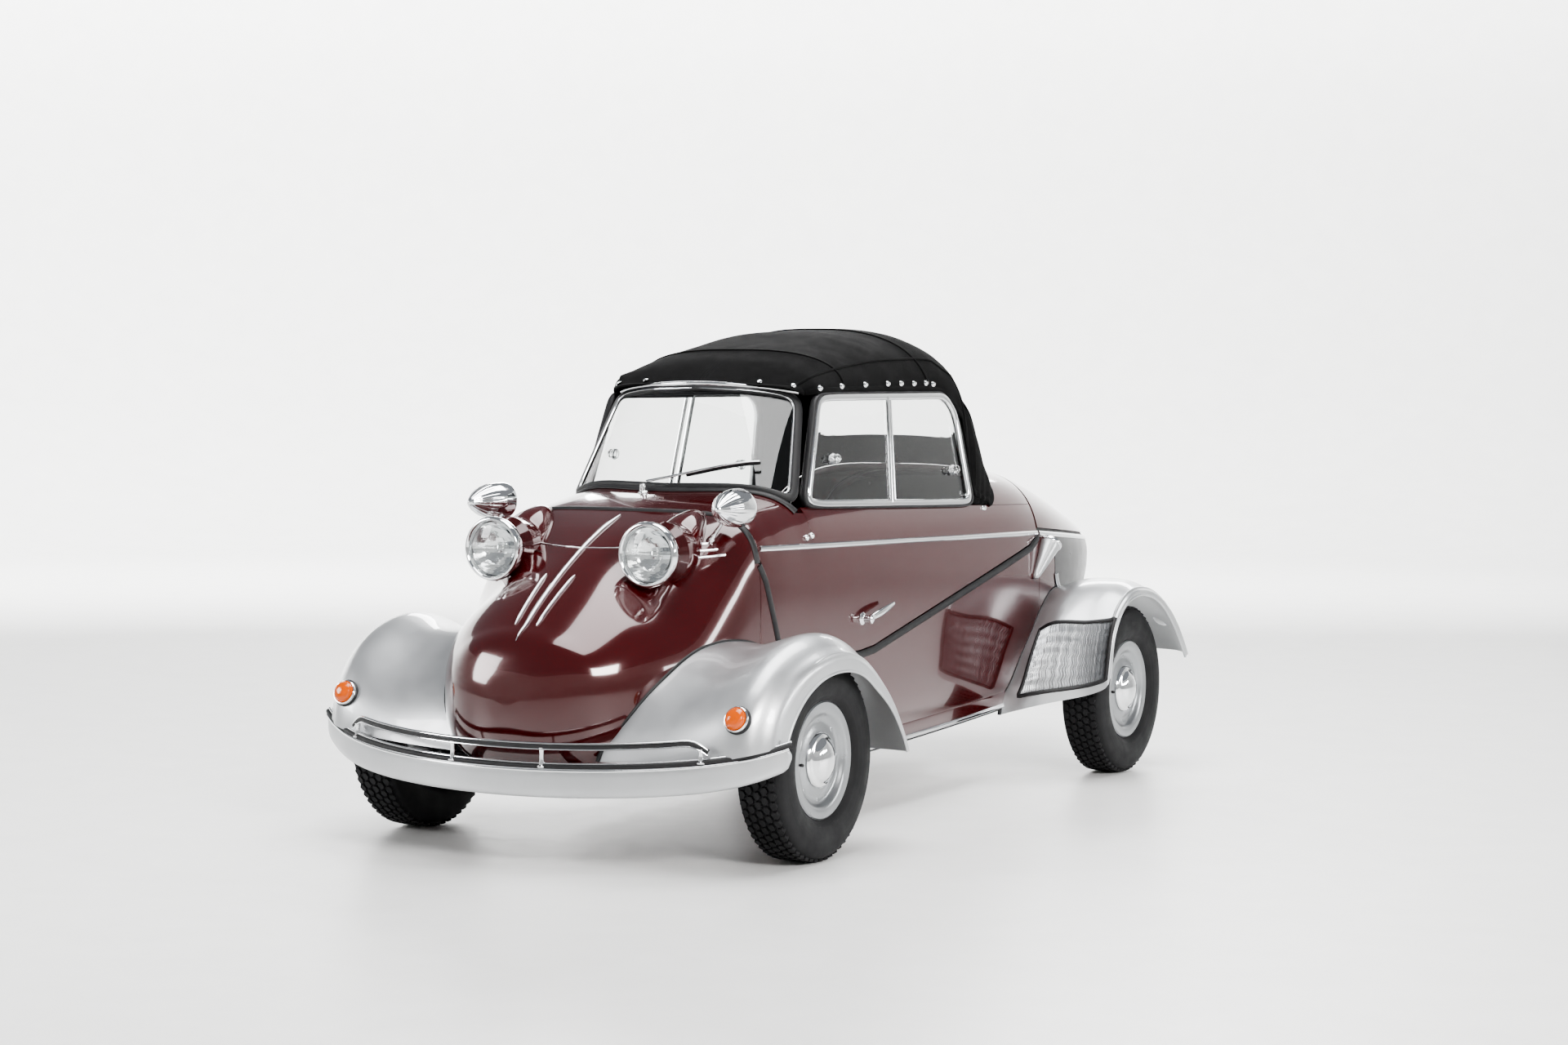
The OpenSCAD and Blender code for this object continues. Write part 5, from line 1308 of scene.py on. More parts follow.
@dataclass
class Fittings:
    """Mirrors, air scoops, door handle, wiper and catches."""

    shape: Shape

    def build(self) -> None:
        """Makes every fitting."""
        self.mirrors()
        self.scoops()
        self.handle()
        self.wiper()
        self.catches()

    def mirrors(self) -> None:
        """Fluted chrome bullets on short stalks, each with its glass facing back."""
        s = self.shape
        piece, glass = Piece("mirror_shells", replaces=("mirrors",)), Piece("mirror_glasses")
        place = np.array([349, s.front_axle_y, s.axle_z + 592])
        foot_y = s.front_axle_y + 12
        foot = np.array([285, foot_y, float(s.z_on(np.array(foot_y), np.array(275))) - 3])
        bullet = rounded([[42, -50], [46, -48], [47, -44], [47, -30], [46, -10], [43, 14], [37, 36],
                          [26, 59], [12, 78], [4, 85], [0.2, 86]], 5.0)
        arm = place - foot
        tall = float(np.linalg.norm(arm)) - 41
        toe_in = math.radians(6)
        shells = twins(placement(place, [math.sin(toe_in), -math.cos(toe_in), 0]))
        for at, stalk in zip(shells, twins(placement(foot, arm, [1, 0, 0]))):
            piece.turned(bullet, at, CHROME, 126, flutes=self._fluted)
            glass.turned([[41, -49.5], [41.5, -50.5], [40, -51.2], [0.2, -52.2]], at, CHROME, 64)
            piece.turned([[10, -6], [10, 3], [7.5, 8], [5.4, 20], [4.8, tall - 8], [6.5, tall + 6]], stalk,
                         CHROME, 32, 2)
        piece.make()
        glass.make()

    @staticmethod
    def _fluted(share: Array, a: Array) -> Array:
        """A factor on the radius: 18 grooves along the bullet that fade toward its rim and its tip."""
        fade = np.clip((share - 0.3) * 6, 0, 1) * np.clip((1 - share) * 8, 0, 1)
        return 1 - 0.035 * fade * (0.5 + 0.5 * np.cos(18 * a)) ** 3

    def scoops(self) -> None:
        """Silver cones on the tail's sides, with a wide chrome lip and an oval chrome ring at the mouth."""
        s = self.shape
        piece = Piece("scoop_cones", replaces=("air_scoops",))
        low = np.array([0, s.rear_axle_y - 190, s.axle_z + 328])
        high = np.array([0, s.rear_axle_y - 105, s.axle_z + 422])
        low[0] = float(s.x_at(np.array(low[1]), np.array(low[2]))) + 6
        high[0] = float(s.x_at(np.array(high[1]), np.array(high[2]))) + 22
        length = float(np.linalg.norm(high - low))
        cone = rounded([[1, -4], [8, -1], [11, 8], [20, length * 0.5], [29, length - 8],
                        [30, length - 4]], 5)
        lip = rounded([[29, length - 5], [32, length - 3], [33, length + 2], [31, length + 7],
                       [27, length + 8], [24, length + 5], [21, length - 8], [12, length - 30],
                       [0.2, length - 44]], 1.5)
        ring = rounded([[19, length + 6], [23, length + 7], [24, length + 10], [21, length + 12],
                        [17, length + 9], [16, length + 2]], 1)
        for at in twins(placement(low, high - low, [0, 1, 0])):
            piece.turned(cone, at, SILVER, 44)
            piece.turned(lip, at, CHROME, 44)
            piece.add(revolve(np.concatenate([ring, ring[:1]]), at, 44), CHROME, closed=True)
        piece.make()

    def handle(self) -> None:
        """The door handle: a round boss and a lever that tapers up and forward."""
        s = self.shape
        y, z = s.front_axle_y + 625, 527.0
        tip_y, tip_z = y + 135, 558.0
        run = np.linspace(0, 1, 50)
        ys, zs = mix(y, tip_y, run), mix(z, tip_z, run ** 0.9)
        path, up = s.side_path(ys, zs, 0)
        path = path + up * (24 + 4 * np.sin(math.pi * run))[:, None]
        piece = Piece("door_handle", "canopy")
        piece.strip(path, ellipse(19, 11, 20), up, CHROME,
                    0.55 + 0.5 * np.sin(math.pi * np.clip(run * 0.9 + 0.08, 0, 1)))
        base, out = s.side_path(np.array([y]), np.array([z]), 0)
        at = placement(base[0], out[0], [0, 1, 0])
        piece.turned([[17, -3], [17, 3], [14, 6], [10, 9], [9, 22], [12, 26], [12, 31], [6, 34],
                      [0.2, 34.5]], at, CHROME, 48, 1.2)
        piece.make()

    def wiper(self) -> None:
        """The wiper: a chrome pivot on the cowl, its arm and a rubber blade along the foot of the screen."""
        s = self.shape
        y = s.screen_mid_y - 28
        at_x = -45.0
        foot = np.array([at_x, y, float(s.z_on(np.array(y), np.array(at_x)))])
        piece = Piece("wiper", "canopy")
        pivot = placement(foot - [0, 0, 4], [0, -0.2, 1], [1, 0, 0])
        piece.turned([[13, 0], [13, 6], [9, 9], [8, 20], [6, 26], [0.2, 28]], pivot, CHROME, 32, 1.2)
        run = np.linspace(0, 1, 60)
        xs = mix(at_x, 243.0, run)
        share = xs / 335
        base_y = mix(s.screen_mid_y, s.screen_foot_y, share**2)
        path = stack(xs, base_y - 16 + 30 * run, s.z_on(base_y, xs) + 22 + 58 * run)
        up = np.array([0, -0.75, 0.65])
        piece.strip(path, ellipse(7, 5), up, CHROME, 1.2 - 0.5 * run)
        blade = path[22:] + np.array([0, 6.0, -5.0])
        piece.strip(blade, ellipse(6, 11), up, RUBBER)
        piece.make()

    def catches(self) -> None:
        """Small chrome catches at the foot of the windows."""
        s = self.shape
        piece = Piece("canopy_catches", "canopy")
        for y, z in ((s.screen_corner_y - 34, 748), (s.screen_corner_y - 6, 752)):
            base, out = s.side_path(np.array([y]), np.array([float(z)]), 0)
            at = placement(base[0], out[0], [0, 1, 0])
            piece.turned([[8, -2], [8, 4], [5, 7], [0.2, 8]], at, CHROME, 24, 1)
        piece.make()


# ---- Wheels ----


@dataclass
class Wheel:
    """One wheel: its tyre with tread, its stepped rim, blank hubcap and valve."""

    place: str
    body: str
    node: str
    sides: int = 88
    rows: tuple = (-40.0, -20.0, 0.0, 20.0, 40.0)
    pitch: int = 62

    def build(self) -> None:
        """Makes the wheel round the middle of its packed tyre."""
        low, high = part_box(f"tyre_{self.node}")
        middle = (low + high) / 2 / MM
        self.radius = (high.z - low.z) / 2 / MM
        self.half_width = (high.x - low.x) / 2 / MM
        out = 1 if middle.x > 0 else -1
        self.at = placement(list(middle), [out, 0, 0], [0, 0, 1])
        self.tyre()
        self.rim()

    def tyre(self) -> None:
        """The carcass, turned from its section, with hexagonal tread blocks in staggered rows."""
        r, half, seat = self.radius, self.half_width, 120.2
        side = [[seat + 1, 41.6], [seat + 14, 43], [seat + 24, 48], [mix(seat, r, 0.3), half - 6],
                [mix(seat, r, 0.42), half - 2], [mix(seat, r, 0.55), half - 0.5],
                [mix(seat, r, 0.7), half - 2], [r - 26, half - 4], [r - 19, half - 6], [r - 13, half - 10],
                [r - 9, half - 17], [r - 7, half - 26], [r - 6.5, 0]]
        fine = rounded(side, 4.0)
        ribs = [np.exp(-(((fine[:, 0] - at) / 1.6) ** 2)) for at in (mix(seat, r, 0.62), seat + 30)]
        bead = ribs[0] + ribs[1]
        fine[:, 1] = np.minimum(fine[:, 1] + 1.0 * bead, half)
        both = np.concatenate([fine, fine[::-1] * [1, -1], fine[:1]])
        piece = Piece(f"tyre_{self.place}", self.body, (f"tyre_{self.node}",))
        piece.add(revolve(both, self.at, self.sides), TYRE, closed=True)
        corners = np.radians(np.arange(6) * 60 + 30)
        row, n, k = np.meshgrid(np.arange(len(self.rows)), np.arange(self.pitch), np.arange(6),
                                indexing="ij")
        step = 2 * math.pi / self.pitch
        around = (n + 0.5 * (row % 2)) * step + 10.6 / r * np.cos(corners)[k]
        across = np.array(self.rows)[row] + 9.2 * np.sin(corners)[k]
        crown, ground = r - 0.9 * (np.abs(across) / 36) ** 3.2, r - 8 - 6 * (np.abs(across) / 52) ** 4
        top, foot = [np.stack([h * np.cos(around), h * np.sin(around), across], -1).reshape(-1, 6, 3)
                     for h in (crown, ground)]
        middle = foot.mean(1, keepdims=True)
        foot = middle + (foot - middle) * 1.06
        blocks = np.concatenate([foot, top], 1)
        blocks = blocks @ self.at[:3, :3].T + self.at[:3, 3]
        base = (np.arange(len(blocks)) * 12)[:, None, None]
        ring = np.arange(6)
        walls = np.stack([ring, (ring + 1) % 6, (ring + 1) % 6 + 6, ring + 6], -1)[None] + base
        lids = np.array([[6, 7, 8, 9], [6, 9, 10, 11], [0, 3, 2, 1], [0, 5, 4, 3]])[None] + base
        piece._take(blocks.reshape(-1, 3), np.concatenate([walls.reshape(-1, 4), lids.reshape(-1, 4)]), TYRE)
        piece.make(crease=30)

    def rim(self) -> None:
        """The stepped disc and rim, the domed hubcap and the valve."""
        piece = Piece(f"rim_{self.place}", self.body, (f"rim_{self.node}",))
        disc = [[13, -18], [44, -18], [45, 12], [84, 13], [108, -4], [114, -46], [138, -50], [141, -48],
                [141, -45], [123, -43], [120.5, -40], [120.5, 40], [123, 43], [141, 45], [142, 48],
                [139, 50.5], [122, 49.5], [114, 47], [109, 42], [103, 36], [95, 33.5], [86, 34.5],
                [78, 37.5], [72, 39], [66, 39.5], [62, 41], [13, 41]]
        piece.add(revolve(rounded(disc, 5.0), self.at, self.sides), RIM_SILVER, closed=True)
        cap = [[66, 39], [68, 41], [67, 44], [64, 47], [60, 49], [57, 49.5], [54, 51.5], [48, 56.5],
               [40, 61.5], [30, 65.5], [20, 68], [10, 69.5], [0.2, 70]]
        piece.turned(cap, self.at, CHROME, 72, 3.5)
        valve = self.at @ placement([0, 100, 30], [0, 0.35, 1], [1, 0, 0])
        piece.turned([[4.5, -6], [4.5, 6], [3, 9], [3, 17], [4, 18], [4, 24], [2, 25]], valve, RUBBER, 20)
        for k in range(8):
            a = math.radians(45 * k)
            bump = self.at @ placement([95 * math.cos(a), 95 * math.sin(a), 32], [0, 0, 1], [1, 0, 0])
            piece.turned([[7, -2], [7, 1.4], [4.5, 2.8], [0.2, 3.2]], bump, RIM_SILVER, 20)
        piece.make()


# ---- Canopy ----


@dataclass
class Canopy:
    """What lifts over to the right: cowl, door, rail, deck, windscreen and side windows."""

    shape: Shape
    screen_half: float = 335.0
    screen_top_half: float = 274.0
    fine: float = 12.0

    def __post_init__(self) -> None:
        """Works out where the windows start and end."""
        s = self.shape
        self.window_front_y = s.screen_corner_y + 10
        self.window_rear_y = s.rear_axle_y - 545
        self.window_top_x = 303.0
        self.heart = [0, 0, s.axle_z + 300]

    def build(self) -> None:
        """Makes every piece of the canopy but its folding top."""
        self.cowl()
        self.door()
        self.rail()
        self.screen()
        self.windows()

    def base_y(self, x: Array) -> Array:
        """Foot of the windscreen: a parabola that runs back from the middle to the corners."""
        s = self.shape
        share = np.minimum(1, (x / self.screen_half) ** 2)
        return s.screen_mid_y + (s.screen_foot_y - s.screen_mid_y) * share

    def cowl(self) -> None:
        """The cowl between the shut line and the windscreen, down to the belt on both sides."""
        s = self.shape
        y0 = s.canopy_front_y + s.gap
        v = np.linspace(0, 1, 30)

        def shoulder(side: int, k: float, gap: float) -> Array:
            """One column of the shoulder, a share k of the way out to the belt."""
            y = mix(y0, s.screen_corner_y, v)
            angle_edge = s.angle_at(y, s.belt_z(y) + gap)
            angle_in = s.angle_at(y, s.z_on(y, np.full_like(y, self.screen_half)))
            return s.section(y, mix(angle_in, angle_edge, k)) * [side, 1, 1]

        columns = [shoulder(-1, k, s.gap) for k in np.linspace(1, 0.08, 14)]
        for x in np.linspace(-self.screen_half, self.screen_half, 70):
            y = mix(y0, self.base_y(x), v)
            columns.append(stack(x, y, s.z_on(y, np.full_like(y, x))))
        columns += [shoulder(1, k, -6) for k in np.linspace(0.08, 1, 14)]
        grid = np.stack(columns)
        piece = Piece("cowl_panel", "canopy", ("canopy_cowl",))
        piece.wall(grid, 10, [0, y0, s.axle_z + 300], MAROON).make(bevel=2)
        edge = grid[14:84, -1]
        up = np.array([0, -0.3, 1.0])
        piece = Piece("cowl_seal", "canopy")
        piece.strip(edge + [0, -3, 2], ellipse(26, 12), up, RUBBER).make()

    def door(self) -> None:
        """The door: the body's side from its lower edge up to the belt, and to the window sill behind."""
        s = self.shape
        ys = dense(sorted([s.canopy_front_y + s.gap, s.canopy_front_y + 24, *s.door_knots[2:8, 0],
                           s.canopy_end_y, s.screen_corner_y + 1]), self.fine)
        share = np.concatenate([np.linspace(0, 1, 36), np.linspace(1, 2, 12)[1:]])
        y, v = outer_product(ys, share)
        low, middle, high = s.door_low_z(y), s.belt_z(y) + 8, s.sill_z(y)
        low = np.minimum(low, middle - 12)
        grid = s.section(y, s.angle_at(y, np.where(v <= 1, mix(low, middle, v), mix(middle, high, v - 1))))
        rear, above = outer_product((ys[1:] + ys[:-1]) / 2, (share[1:] + share[:-1]) / 2)
        keep = (above < 1) | (rear > s.screen_corner_y + 1)
        piece = Piece("door_panel", "canopy", ("canopy_door",))
        piece.wall(grid, 12, self.heart, MAROON, keep).make(bevel=2.5)

    def rail(self) -> None:
        """The right side between the belt and the sill, and the deck behind the folding top."""
        s = self.shape
        ys = np.linspace(s.screen_corner_y + 0.5, s.canopy_end_y, 100)
        y, v = outer_product(ys, np.linspace(0, 1, 24))
        grid = mirrored(s.section(y, s.angle_at(y, mix(s.belt_z(y) + s.gap, s.sill_z(y), v))))
        Piece("right_rail", "canopy", ("canopy_rail",)).wall(grid, 12, self.heart, MAROON).make(bevel=2.5)
        a = np.radians(np.linspace(0, 180, 80))
        e = 2 / 3
        c, up = spow(np.cos(a), e), spow(np.sin(a), e)
        y0 = mix(self.window_rear_y + 95, self.window_rear_y + 215, up)
        y = mix(y0[:, None], s.canopy_end_y, np.linspace(0, 1, 20)[None])
        x = c[:, None] * s.x_at(y, s.sill_z(y) + 1)
        grid = stack(x, y, s.z_on(y, x))
        Piece("rear_deck", "canopy", ("canopy_deck",)).wall(grid, 12, self.heart, MAROON).make(bevel=2.5)

    def screen_point(self, share: Array, v: Array) -> Array:
        """Point of the windscreen: a straight line from its curved foot to its curved head."""
        s = self.shape
        x = self.screen_half * share
        y = self.base_y(x) + 3
        foot = stack(x, y, s.z_on(y, x) + 3)
        head = stack(self.screen_top_half * share, s.front_axle_y + 415 + 73 * share**2,
                     s.axle_z + s.window_top + 20 - 23 * share**2)
        return mix(foot, head, v[..., None])

    @staticmethod
    def outline(point: Callable[[Array, Array], Array], n: int, corner: float, edge: float) -> Array:
        """A closed line round a patch at a share edge inside its border, with rounded corners.

        It is the superellipse of power 2 / corner through the border, in the patch's own parameters.
        """
        a = np.radians(np.arange(n) * 360 / n)
        u = 0.5 + (0.5 - edge) * spow(np.cos(a), corner)
        v = 0.5 + (0.5 - edge) * spow(np.sin(a), corner)
        return point(u, v)

    def _even(self, line: Array, n: int) -> Array:
        """A closed line sampled evenly along its length."""
        loop = np.concatenate([line, line[:1]])
        far = distance_along(loop)
        at = np.linspace(0, far[-1], n, endpoint=False)
        return np.stack([np.interp(at, far, loop[:, k]) for k in range(3)], -1)

    def screen(self) -> None:
        """The windscreen: bent glass in a black rubber section with a bright bead, and a chrome header."""
        s = self.shape

        def patch(u: Array, v: Array) -> Array:
            """The windscreen by shares across and up."""
            return self.screen_point(u * 2 - 1, v)

        u, v = outer_product(np.linspace(0.02, 0.98, 60), np.linspace(0.025, 0.975, 30))
        inside = [0, s.screen_corner_y + 200, s.axle_z + 700]
        glass = Piece("windscreen_glass", "canopy", ("windscreen",))
        glass.wall(patch(u, v), 4, inside, GLASS).make()
        line = self._even(self.outline(patch, 720, 0.16, 0.012), 200)
        away = unit(line - np.array([0, s.front_axle_y + 700, s.axle_z + 640]))
        rubber = Piece("windscreen_seal", "canopy", ("windscreen_frame",))
        rubber.strip(line, ellipse(24, 15, 16, 2.6), away, RUBBER, loop=True).make()
        inner = self._even(self.outline(patch, 720, 0.16, 0.03), 200)
        away = unit(inner - np.array([0, s.front_axle_y + 700, s.axle_z + 640]))
        bead = Piece("windscreen_bead", "canopy")
        bead.strip(inner + 5 * away, ellipse(6, 6), away, CHROME, loop=True)
        k = np.linspace(-0.97, 0.97, 120)
        head = self.screen_point(k, np.full_like(k, 1.0)) + [0, 2, 7]
        bead.strip(head, ellipse(13, 12, 16, 3), np.array([0, -0.35, 1.0]), CHROME)
        bead.make()

    def window_top_z(self, y: Array) -> Array:
        """Head of the side window: level, with a round corner at the rear."""
        s, corner = self.shape, 110.0
        drop = np.clip((y - self.window_rear_y + 30 + corner) / corner, 0, 1)
        return s.axle_z + s.window_top - corner * (1 - np.sqrt(1 - drop**2))

    def window_point(self, a: Array, b: Array) -> Array:
        """Point of the left window: a ruled surface from the sill up to its head."""
        s = self.shape
        low_y = mix(self.window_front_y, self.window_rear_y, a)
        high_y = mix(self.window_front_y + 109, self.window_rear_y - 30, a)
        sill = s.sill_z(low_y) + 1
        top = self.window_top_z(high_y)
        low_x = s.x_at(low_y, sill)
        top_x = mix(low_x, self.window_top_x, (top - sill) / (s.axle_z + s.window_top - sill))
        return mix(stack(low_x, low_y, sill), stack(top_x, high_y, top), b[..., None])

    def windows(self) -> None:
        """Sliding side windows: bright frames in black rubber, two panes that overlap, and clear pulls."""
        s = self.shape
        heart = np.array([0, 0, s.axle_z + 700])
        frames = Piece("window_bars", "canopy", ("window_frames",))
        rubber = Piece("window_rubbers", "canopy")
        panes = Piece("window_panes", "canopy", ("side_windows",))
        pulls = Piece("window_pulls", "canopy")
        line = self._even(self.outline(self.window_point, 900, 0.12, 0.022), 190)
        outer = self._even(self.outline(self.window_point, 900, 0.12, 0.004), 190)
        share = np.linspace(0, 1, 20)
        out = unit(grid_normals(self.window_point(*outer_product(share, share)))[10, 10])
        out = out * np.sign(out[0])
        for turn in SIDES.values():
            frames.strip(turn(line + 3 * out), ellipse(21, 15, 16, 3), turn(out), CHROME, loop=True)
            rubber.strip(turn(outer), ellipse(16, 20, 16, 2.6), turn(out), RUBBER, loop=True)
            b = np.linspace(0.03, 0.97, 40)
            for a0, lift in ((0.485, 7.0), (0.515, 0.0)):
                bar = self.window_point(np.full_like(b, a0), b) + lift * out
                frames.strip(turn(bar), ellipse(11, 9, 12, 3), turn(out), CHROME)
            for a0, a1, lift in ((0.025, 0.49, 5.0), (0.51, 0.975, -3.0)):
                u, v = outer_product(np.linspace(a0, a1, 40), np.linspace(0.03, 0.97, 24))
                panes.wall(turn(self.window_point(u, v) + lift * out), 3.5, turn(heart), GLASS)
            for a0, b0, lift in ((0.13, 0.42, 8.0), (0.9, 0.32, 0.0)):
                p = self.window_point(np.array(a0), np.array(b0)) + lift * out
                at = placement(turn(p), turn(out), [0, 1, 0])
                pulls.turned([[13, -2], [15, 1], [15, 5], [10, 11], [12, 17], [8, 22], [0.2, 23]], at,
                             ACRYLIC, 32, 1.2)
        for piece in (frames, rubber, panes, pulls):
            piece.make()


# ---- Folding top ----


@dataclass
class FoldingTop:
    """The black cloth top over its bows, with its seams, snaps, window and rear gusset."""

    canopy: Canopy
    thick: float = 2.4

    def __post_init__(self) -> None:
        """The lines on which the arches stand and their crowns, along the share k from front to rear."""
        c, s = self.canopy, self.canopy.shape
        front, rear, top, crown = c.window_front_y, c.window_rear_y, s.window_top, s.hood_crown
        x = c.window_top_x
        self.base = Track([
            (0, (c.screen_top_half + 4, front + 96, top + 3)), (0.08, (x + 2, front + 119, top + 3)),
            (0.45, (x + 2, rear - 180, top + 3)), (0.53, (x + 5, rear - 90, top - 10)),
            (0.6, (x + 20, rear - 8, top - 80)), (0.66, (x + 26, rear + 8, top - 190)),
            (0.7, (x + 30, rear + 14, top - 308)), (1, (x + 30, rear + 95, top - 322))])
        crest = [
            (0, front + 42, top + 24), (0.12, front + 164, crown - 82), (0.3, front + 434, crown - 18),
            (0.45, rear - 290, crown), (0.56, rear - 145, crown - 3), (0.64, rear - 5, crown - 40),
            (0.7, rear + 75, crown - 89), (0.78, rear + 125, crown - 174), (0.88, rear + 150, crown - 274),
            (1, rear + 215, 648)]
        self.crest_y = Curve([(k, y) for k, y, _ in crest])
        self.crest_z = Curve([(k, z) for k, _, z in crest])

    def point(self, k: Array, a: Array, out: float = 0.0) -> Array:
        """Point of the arch k at angle a from its left foot: a superellipse between foot and crown."""
        s = self.canopy.shape
        power = np.interp(k, [0, 0.4, 0.8, 1], [3, 2.6, 2.8, 3])
        c, up = spow(np.cos(np.radians(a)), 2 / power), spow(np.sin(np.radians(a)), 2 / power)
        low_x, low_y, low_z = self.base(k)
        on_sill = k > 0.68
        foot_z = np.where(on_sill, s.sill_z(low_y) - s.axle_z + 3, low_z)
        y = mix(low_y, self.crest_y(k), up)
        x = c * np.where(on_sill, s.x_at(low_y, s.sill_z(low_y)) + 1, low_x)
        z = s.axle_z + mix(foot_z, self.crest_z(k), up)
        settle = np.clip((k - 0.97) / 0.03, 0, 1)
        z = mix(z, np.maximum(s.z_on(y, x) + 4, 0), settle)
        wave = (np.cos(2 * np.pi * np.clip(k, 0.05, 0.7) / 0.1625) - 1) * 1.6
        bow = wave * np.sin(np.radians(a)) ** 2 * (k < 0.68)
        pucker = 1.2 * np.sin(60 * k + 3 * np.sin(np.radians(2 * a))) * np.exp(-np.minimum(a, 180 - a) / 16)
        away = unit(stack(c, 0 * up, up))
        return stack(x, y, z) + (out + bow + pucker)[..., None] * away

    def build(self) -> None:
        """Makes the top and everything on it."""
        s = self.canopy.shape
        ks = np.unique(np.concatenate([np.linspace(0, 1, 110), [0.765, 0.905]]))
        angles = np.unique(np.concatenate([np.linspace(0, 180, 110), [58, 122]]))
        k, a = outer_product(ks, angles)
        grid = self.point(k, a)
        mid_k, mid_a = outer_product((ks[1:] + ks[:-1]) / 2, (angles[1:] + angles[:-1]) / 2)
        hole = (np.abs((mid_k - 0.835) / 0.07) ** 4 + np.abs((mid_a - 90) / 32) ** 4) < 1
        length = float(np.linalg.norm(np.diff(grid[:, 55], axis=0), axis=1).sum()) * MM
        width = float(np.linalg.norm(np.diff(grid[51], axis=0), axis=1).sum()) * MM
        heart = [0, 0, s.axle_z + 700]
        cloth = Piece("folding_top", "canopy", ("soft_top",))
        cloth.wall(grid, self.thick, heart, CLOTH, ~hole, uv=(length, width))
        obj = cloth.make(crease=80)
        trims = [self.seams(), self.snaps(), self.rear_window()]
        self.gussets()

    def _line(self, k: Array, a: Array, out: float) -> tuple[Array, Array]:
        """A line over the cloth at a distance, with the directions off the cloth."""
        off = self.point(k, a, np.full_like(k, 20.0)) - self.point(k, a)
        return self.point(k, a, np.full_like(k, out)), unit(off)

    def _across(self, k: float, low: float = 0, high: float = 180, out: float = 1.0) -> tuple[Array, Array]:
        """A line across the top at share k, with the directions off the cloth."""
        a = np.linspace(low, high, 90)
        return self._line(np.full_like(a, k), a, out)

    def _along(self, a: float, low: float = 0, high: float = 1, out: float = 1.0) -> tuple[Array, Array]:
        """A line along the top at one angle of its arches."""
        k = np.linspace(low, high, 110)
        return self._line(k, np.full_like(k, a), out)

    def seams(self) -> bpy.types.Object:
        """Bound edges and felled seams: flat beads across the top and along its sides, with their piping."""
        piece = Piece("top_seams", "canopy")
        for k, width, tall in ((0.004, 18, 6), (0.17, 9, 4), (0.45, 9, 4), (0.63, 10, 5), (0.994, 18, 6)):
            path, up = self._across(k, 1, 179)
            piece.strip(path, ellipse(width, tall, 12, 2.6), up, CLOTH)
        for a, low, high, width in ((1.5, 0.01, 0.99, 16), (178.5, 0.01, 0.99, 16), (34, 0.63, 0.98, 8),
                                    (146, 0.63, 0.98, 8), (26, 0.01, 0.63, 7), (154, 0.01, 0.63, 7)):
            path, up = self._along(a, low, high)
            piece.strip(path, ellipse(width, 5, 12, 2.6), up, CLOTH)
        return piece.make()

    def snaps(self) -> bpy.types.Object:
        """Oval chrome snaps along the lower edges and the front hem."""
        piece = Piece("top_snaps", "canopy")
        for side in (1, -1):
            for k in (0.09, 0.16, 0.235, 0.31, 0.355, 0.4, 0.44, 0.475):
                self._snap(piece, k, 90 - side * 85.5)
            for a in (28, 62):
                self._snap(piece, 0.018, 90 - side * (90 - a))
        return piece.make()

    def _snap(self, piece: Piece, k: float, a: float) -> None:
        """One snap: a low dome in a flat ring."""
        p = self.point(np.array(k), np.array(a), np.array(2.0))
        q = self.point(np.array(k), np.array(a), np.array(22.0))
        at = placement(p, q - p, [0, 1, 0])
        at[:3, 0] *= 1.5
        piece.turned([[8, -1], [8, 1.6], [6, 2.4], [5, 4.4], [3, 5.6], [0.2, 6]], at, CHROME, 20, 2.0)

    def rear_window(self) -> bpy.types.Object:
        """The clear rear window with its sewn border."""
        k, a = outer_product(np.linspace(0.755, 0.915, 40), np.linspace(55, 125, 60))
        inside = (np.abs((k - 0.835) / 0.078) ** 4 + np.abs((a - 90) / 35) ** 4) ** 0.25
        shrink = np.minimum(1, 1 / np.maximum(inside, 1e-6))
        k, a = 0.835 + (k - 0.835) * shrink, 90 + (a - 90) * shrink
        s = self.canopy.shape
        pane = Piece("rear_pane", "canopy", ("rear_window",))
        pane.wall(self.point(k, a, np.full(k.shape, -1.6)), 1.2, [0, 0, s.axle_z + 700], GLASS)
        turn = np.radians(np.arange(240) * 1.5)
        kk, aa = 0.835 + 0.073 * spow(np.cos(turn), 0.5), 90 + 33 * spow(np.sin(turn), 0.5)
        ring = self.point(kk, aa, np.full(240, 1.0))
        away = unit(self.point(kk, aa, np.full(240, 20.0)) - ring)
        pane.make()
        border = Piece("rear_pane_border", "canopy")
        border.strip(ring, ellipse(13, 4, 12, 2.6), away, CLOTH, loop=True)
        return border.make()

    def gussets(self) -> None:
        """Cloth gussets behind the side windows, down to the deck, with a small chrome catch."""
        c, s = self.canopy, self.canopy.shape
        b = np.linspace(0.0, 0.78, 30)
        edge = c.window_point(np.ones_like(b), b)
        k = np.interp(b, [0, 0.78], [0.705, 0.6])
        cloth = self.point(k, np.full_like(k, 0.5), np.full_like(k, 0.0))
        piece = Piece("top_gussets", "canopy")
        grid = np.stack([mix(edge, cloth, t) for t in np.linspace(-0.2, 1.02, 12)], 1)
        for turn in SIDES.values():
            piece.wall(turn(grid), 2.5, [0, 0, s.axle_z + 600], CLOTH, uv=(0.3, 0.1))
        y = c.window_rear_y + 62
        base, out = s.side_path(np.array([y]), np.array([float(s.sill_z(np.array(y)))]) - 8, 0)
        for at in twins(placement(base[0], out[0], [0, 1, 0])):
            at[:3, 0] *= 1.7
            piece.turned([[8, -2], [8, 3], [5, 6], [0.2, 7]], at, CHROME, 24, 1)
        piece.make()


# ---- Cabin ----


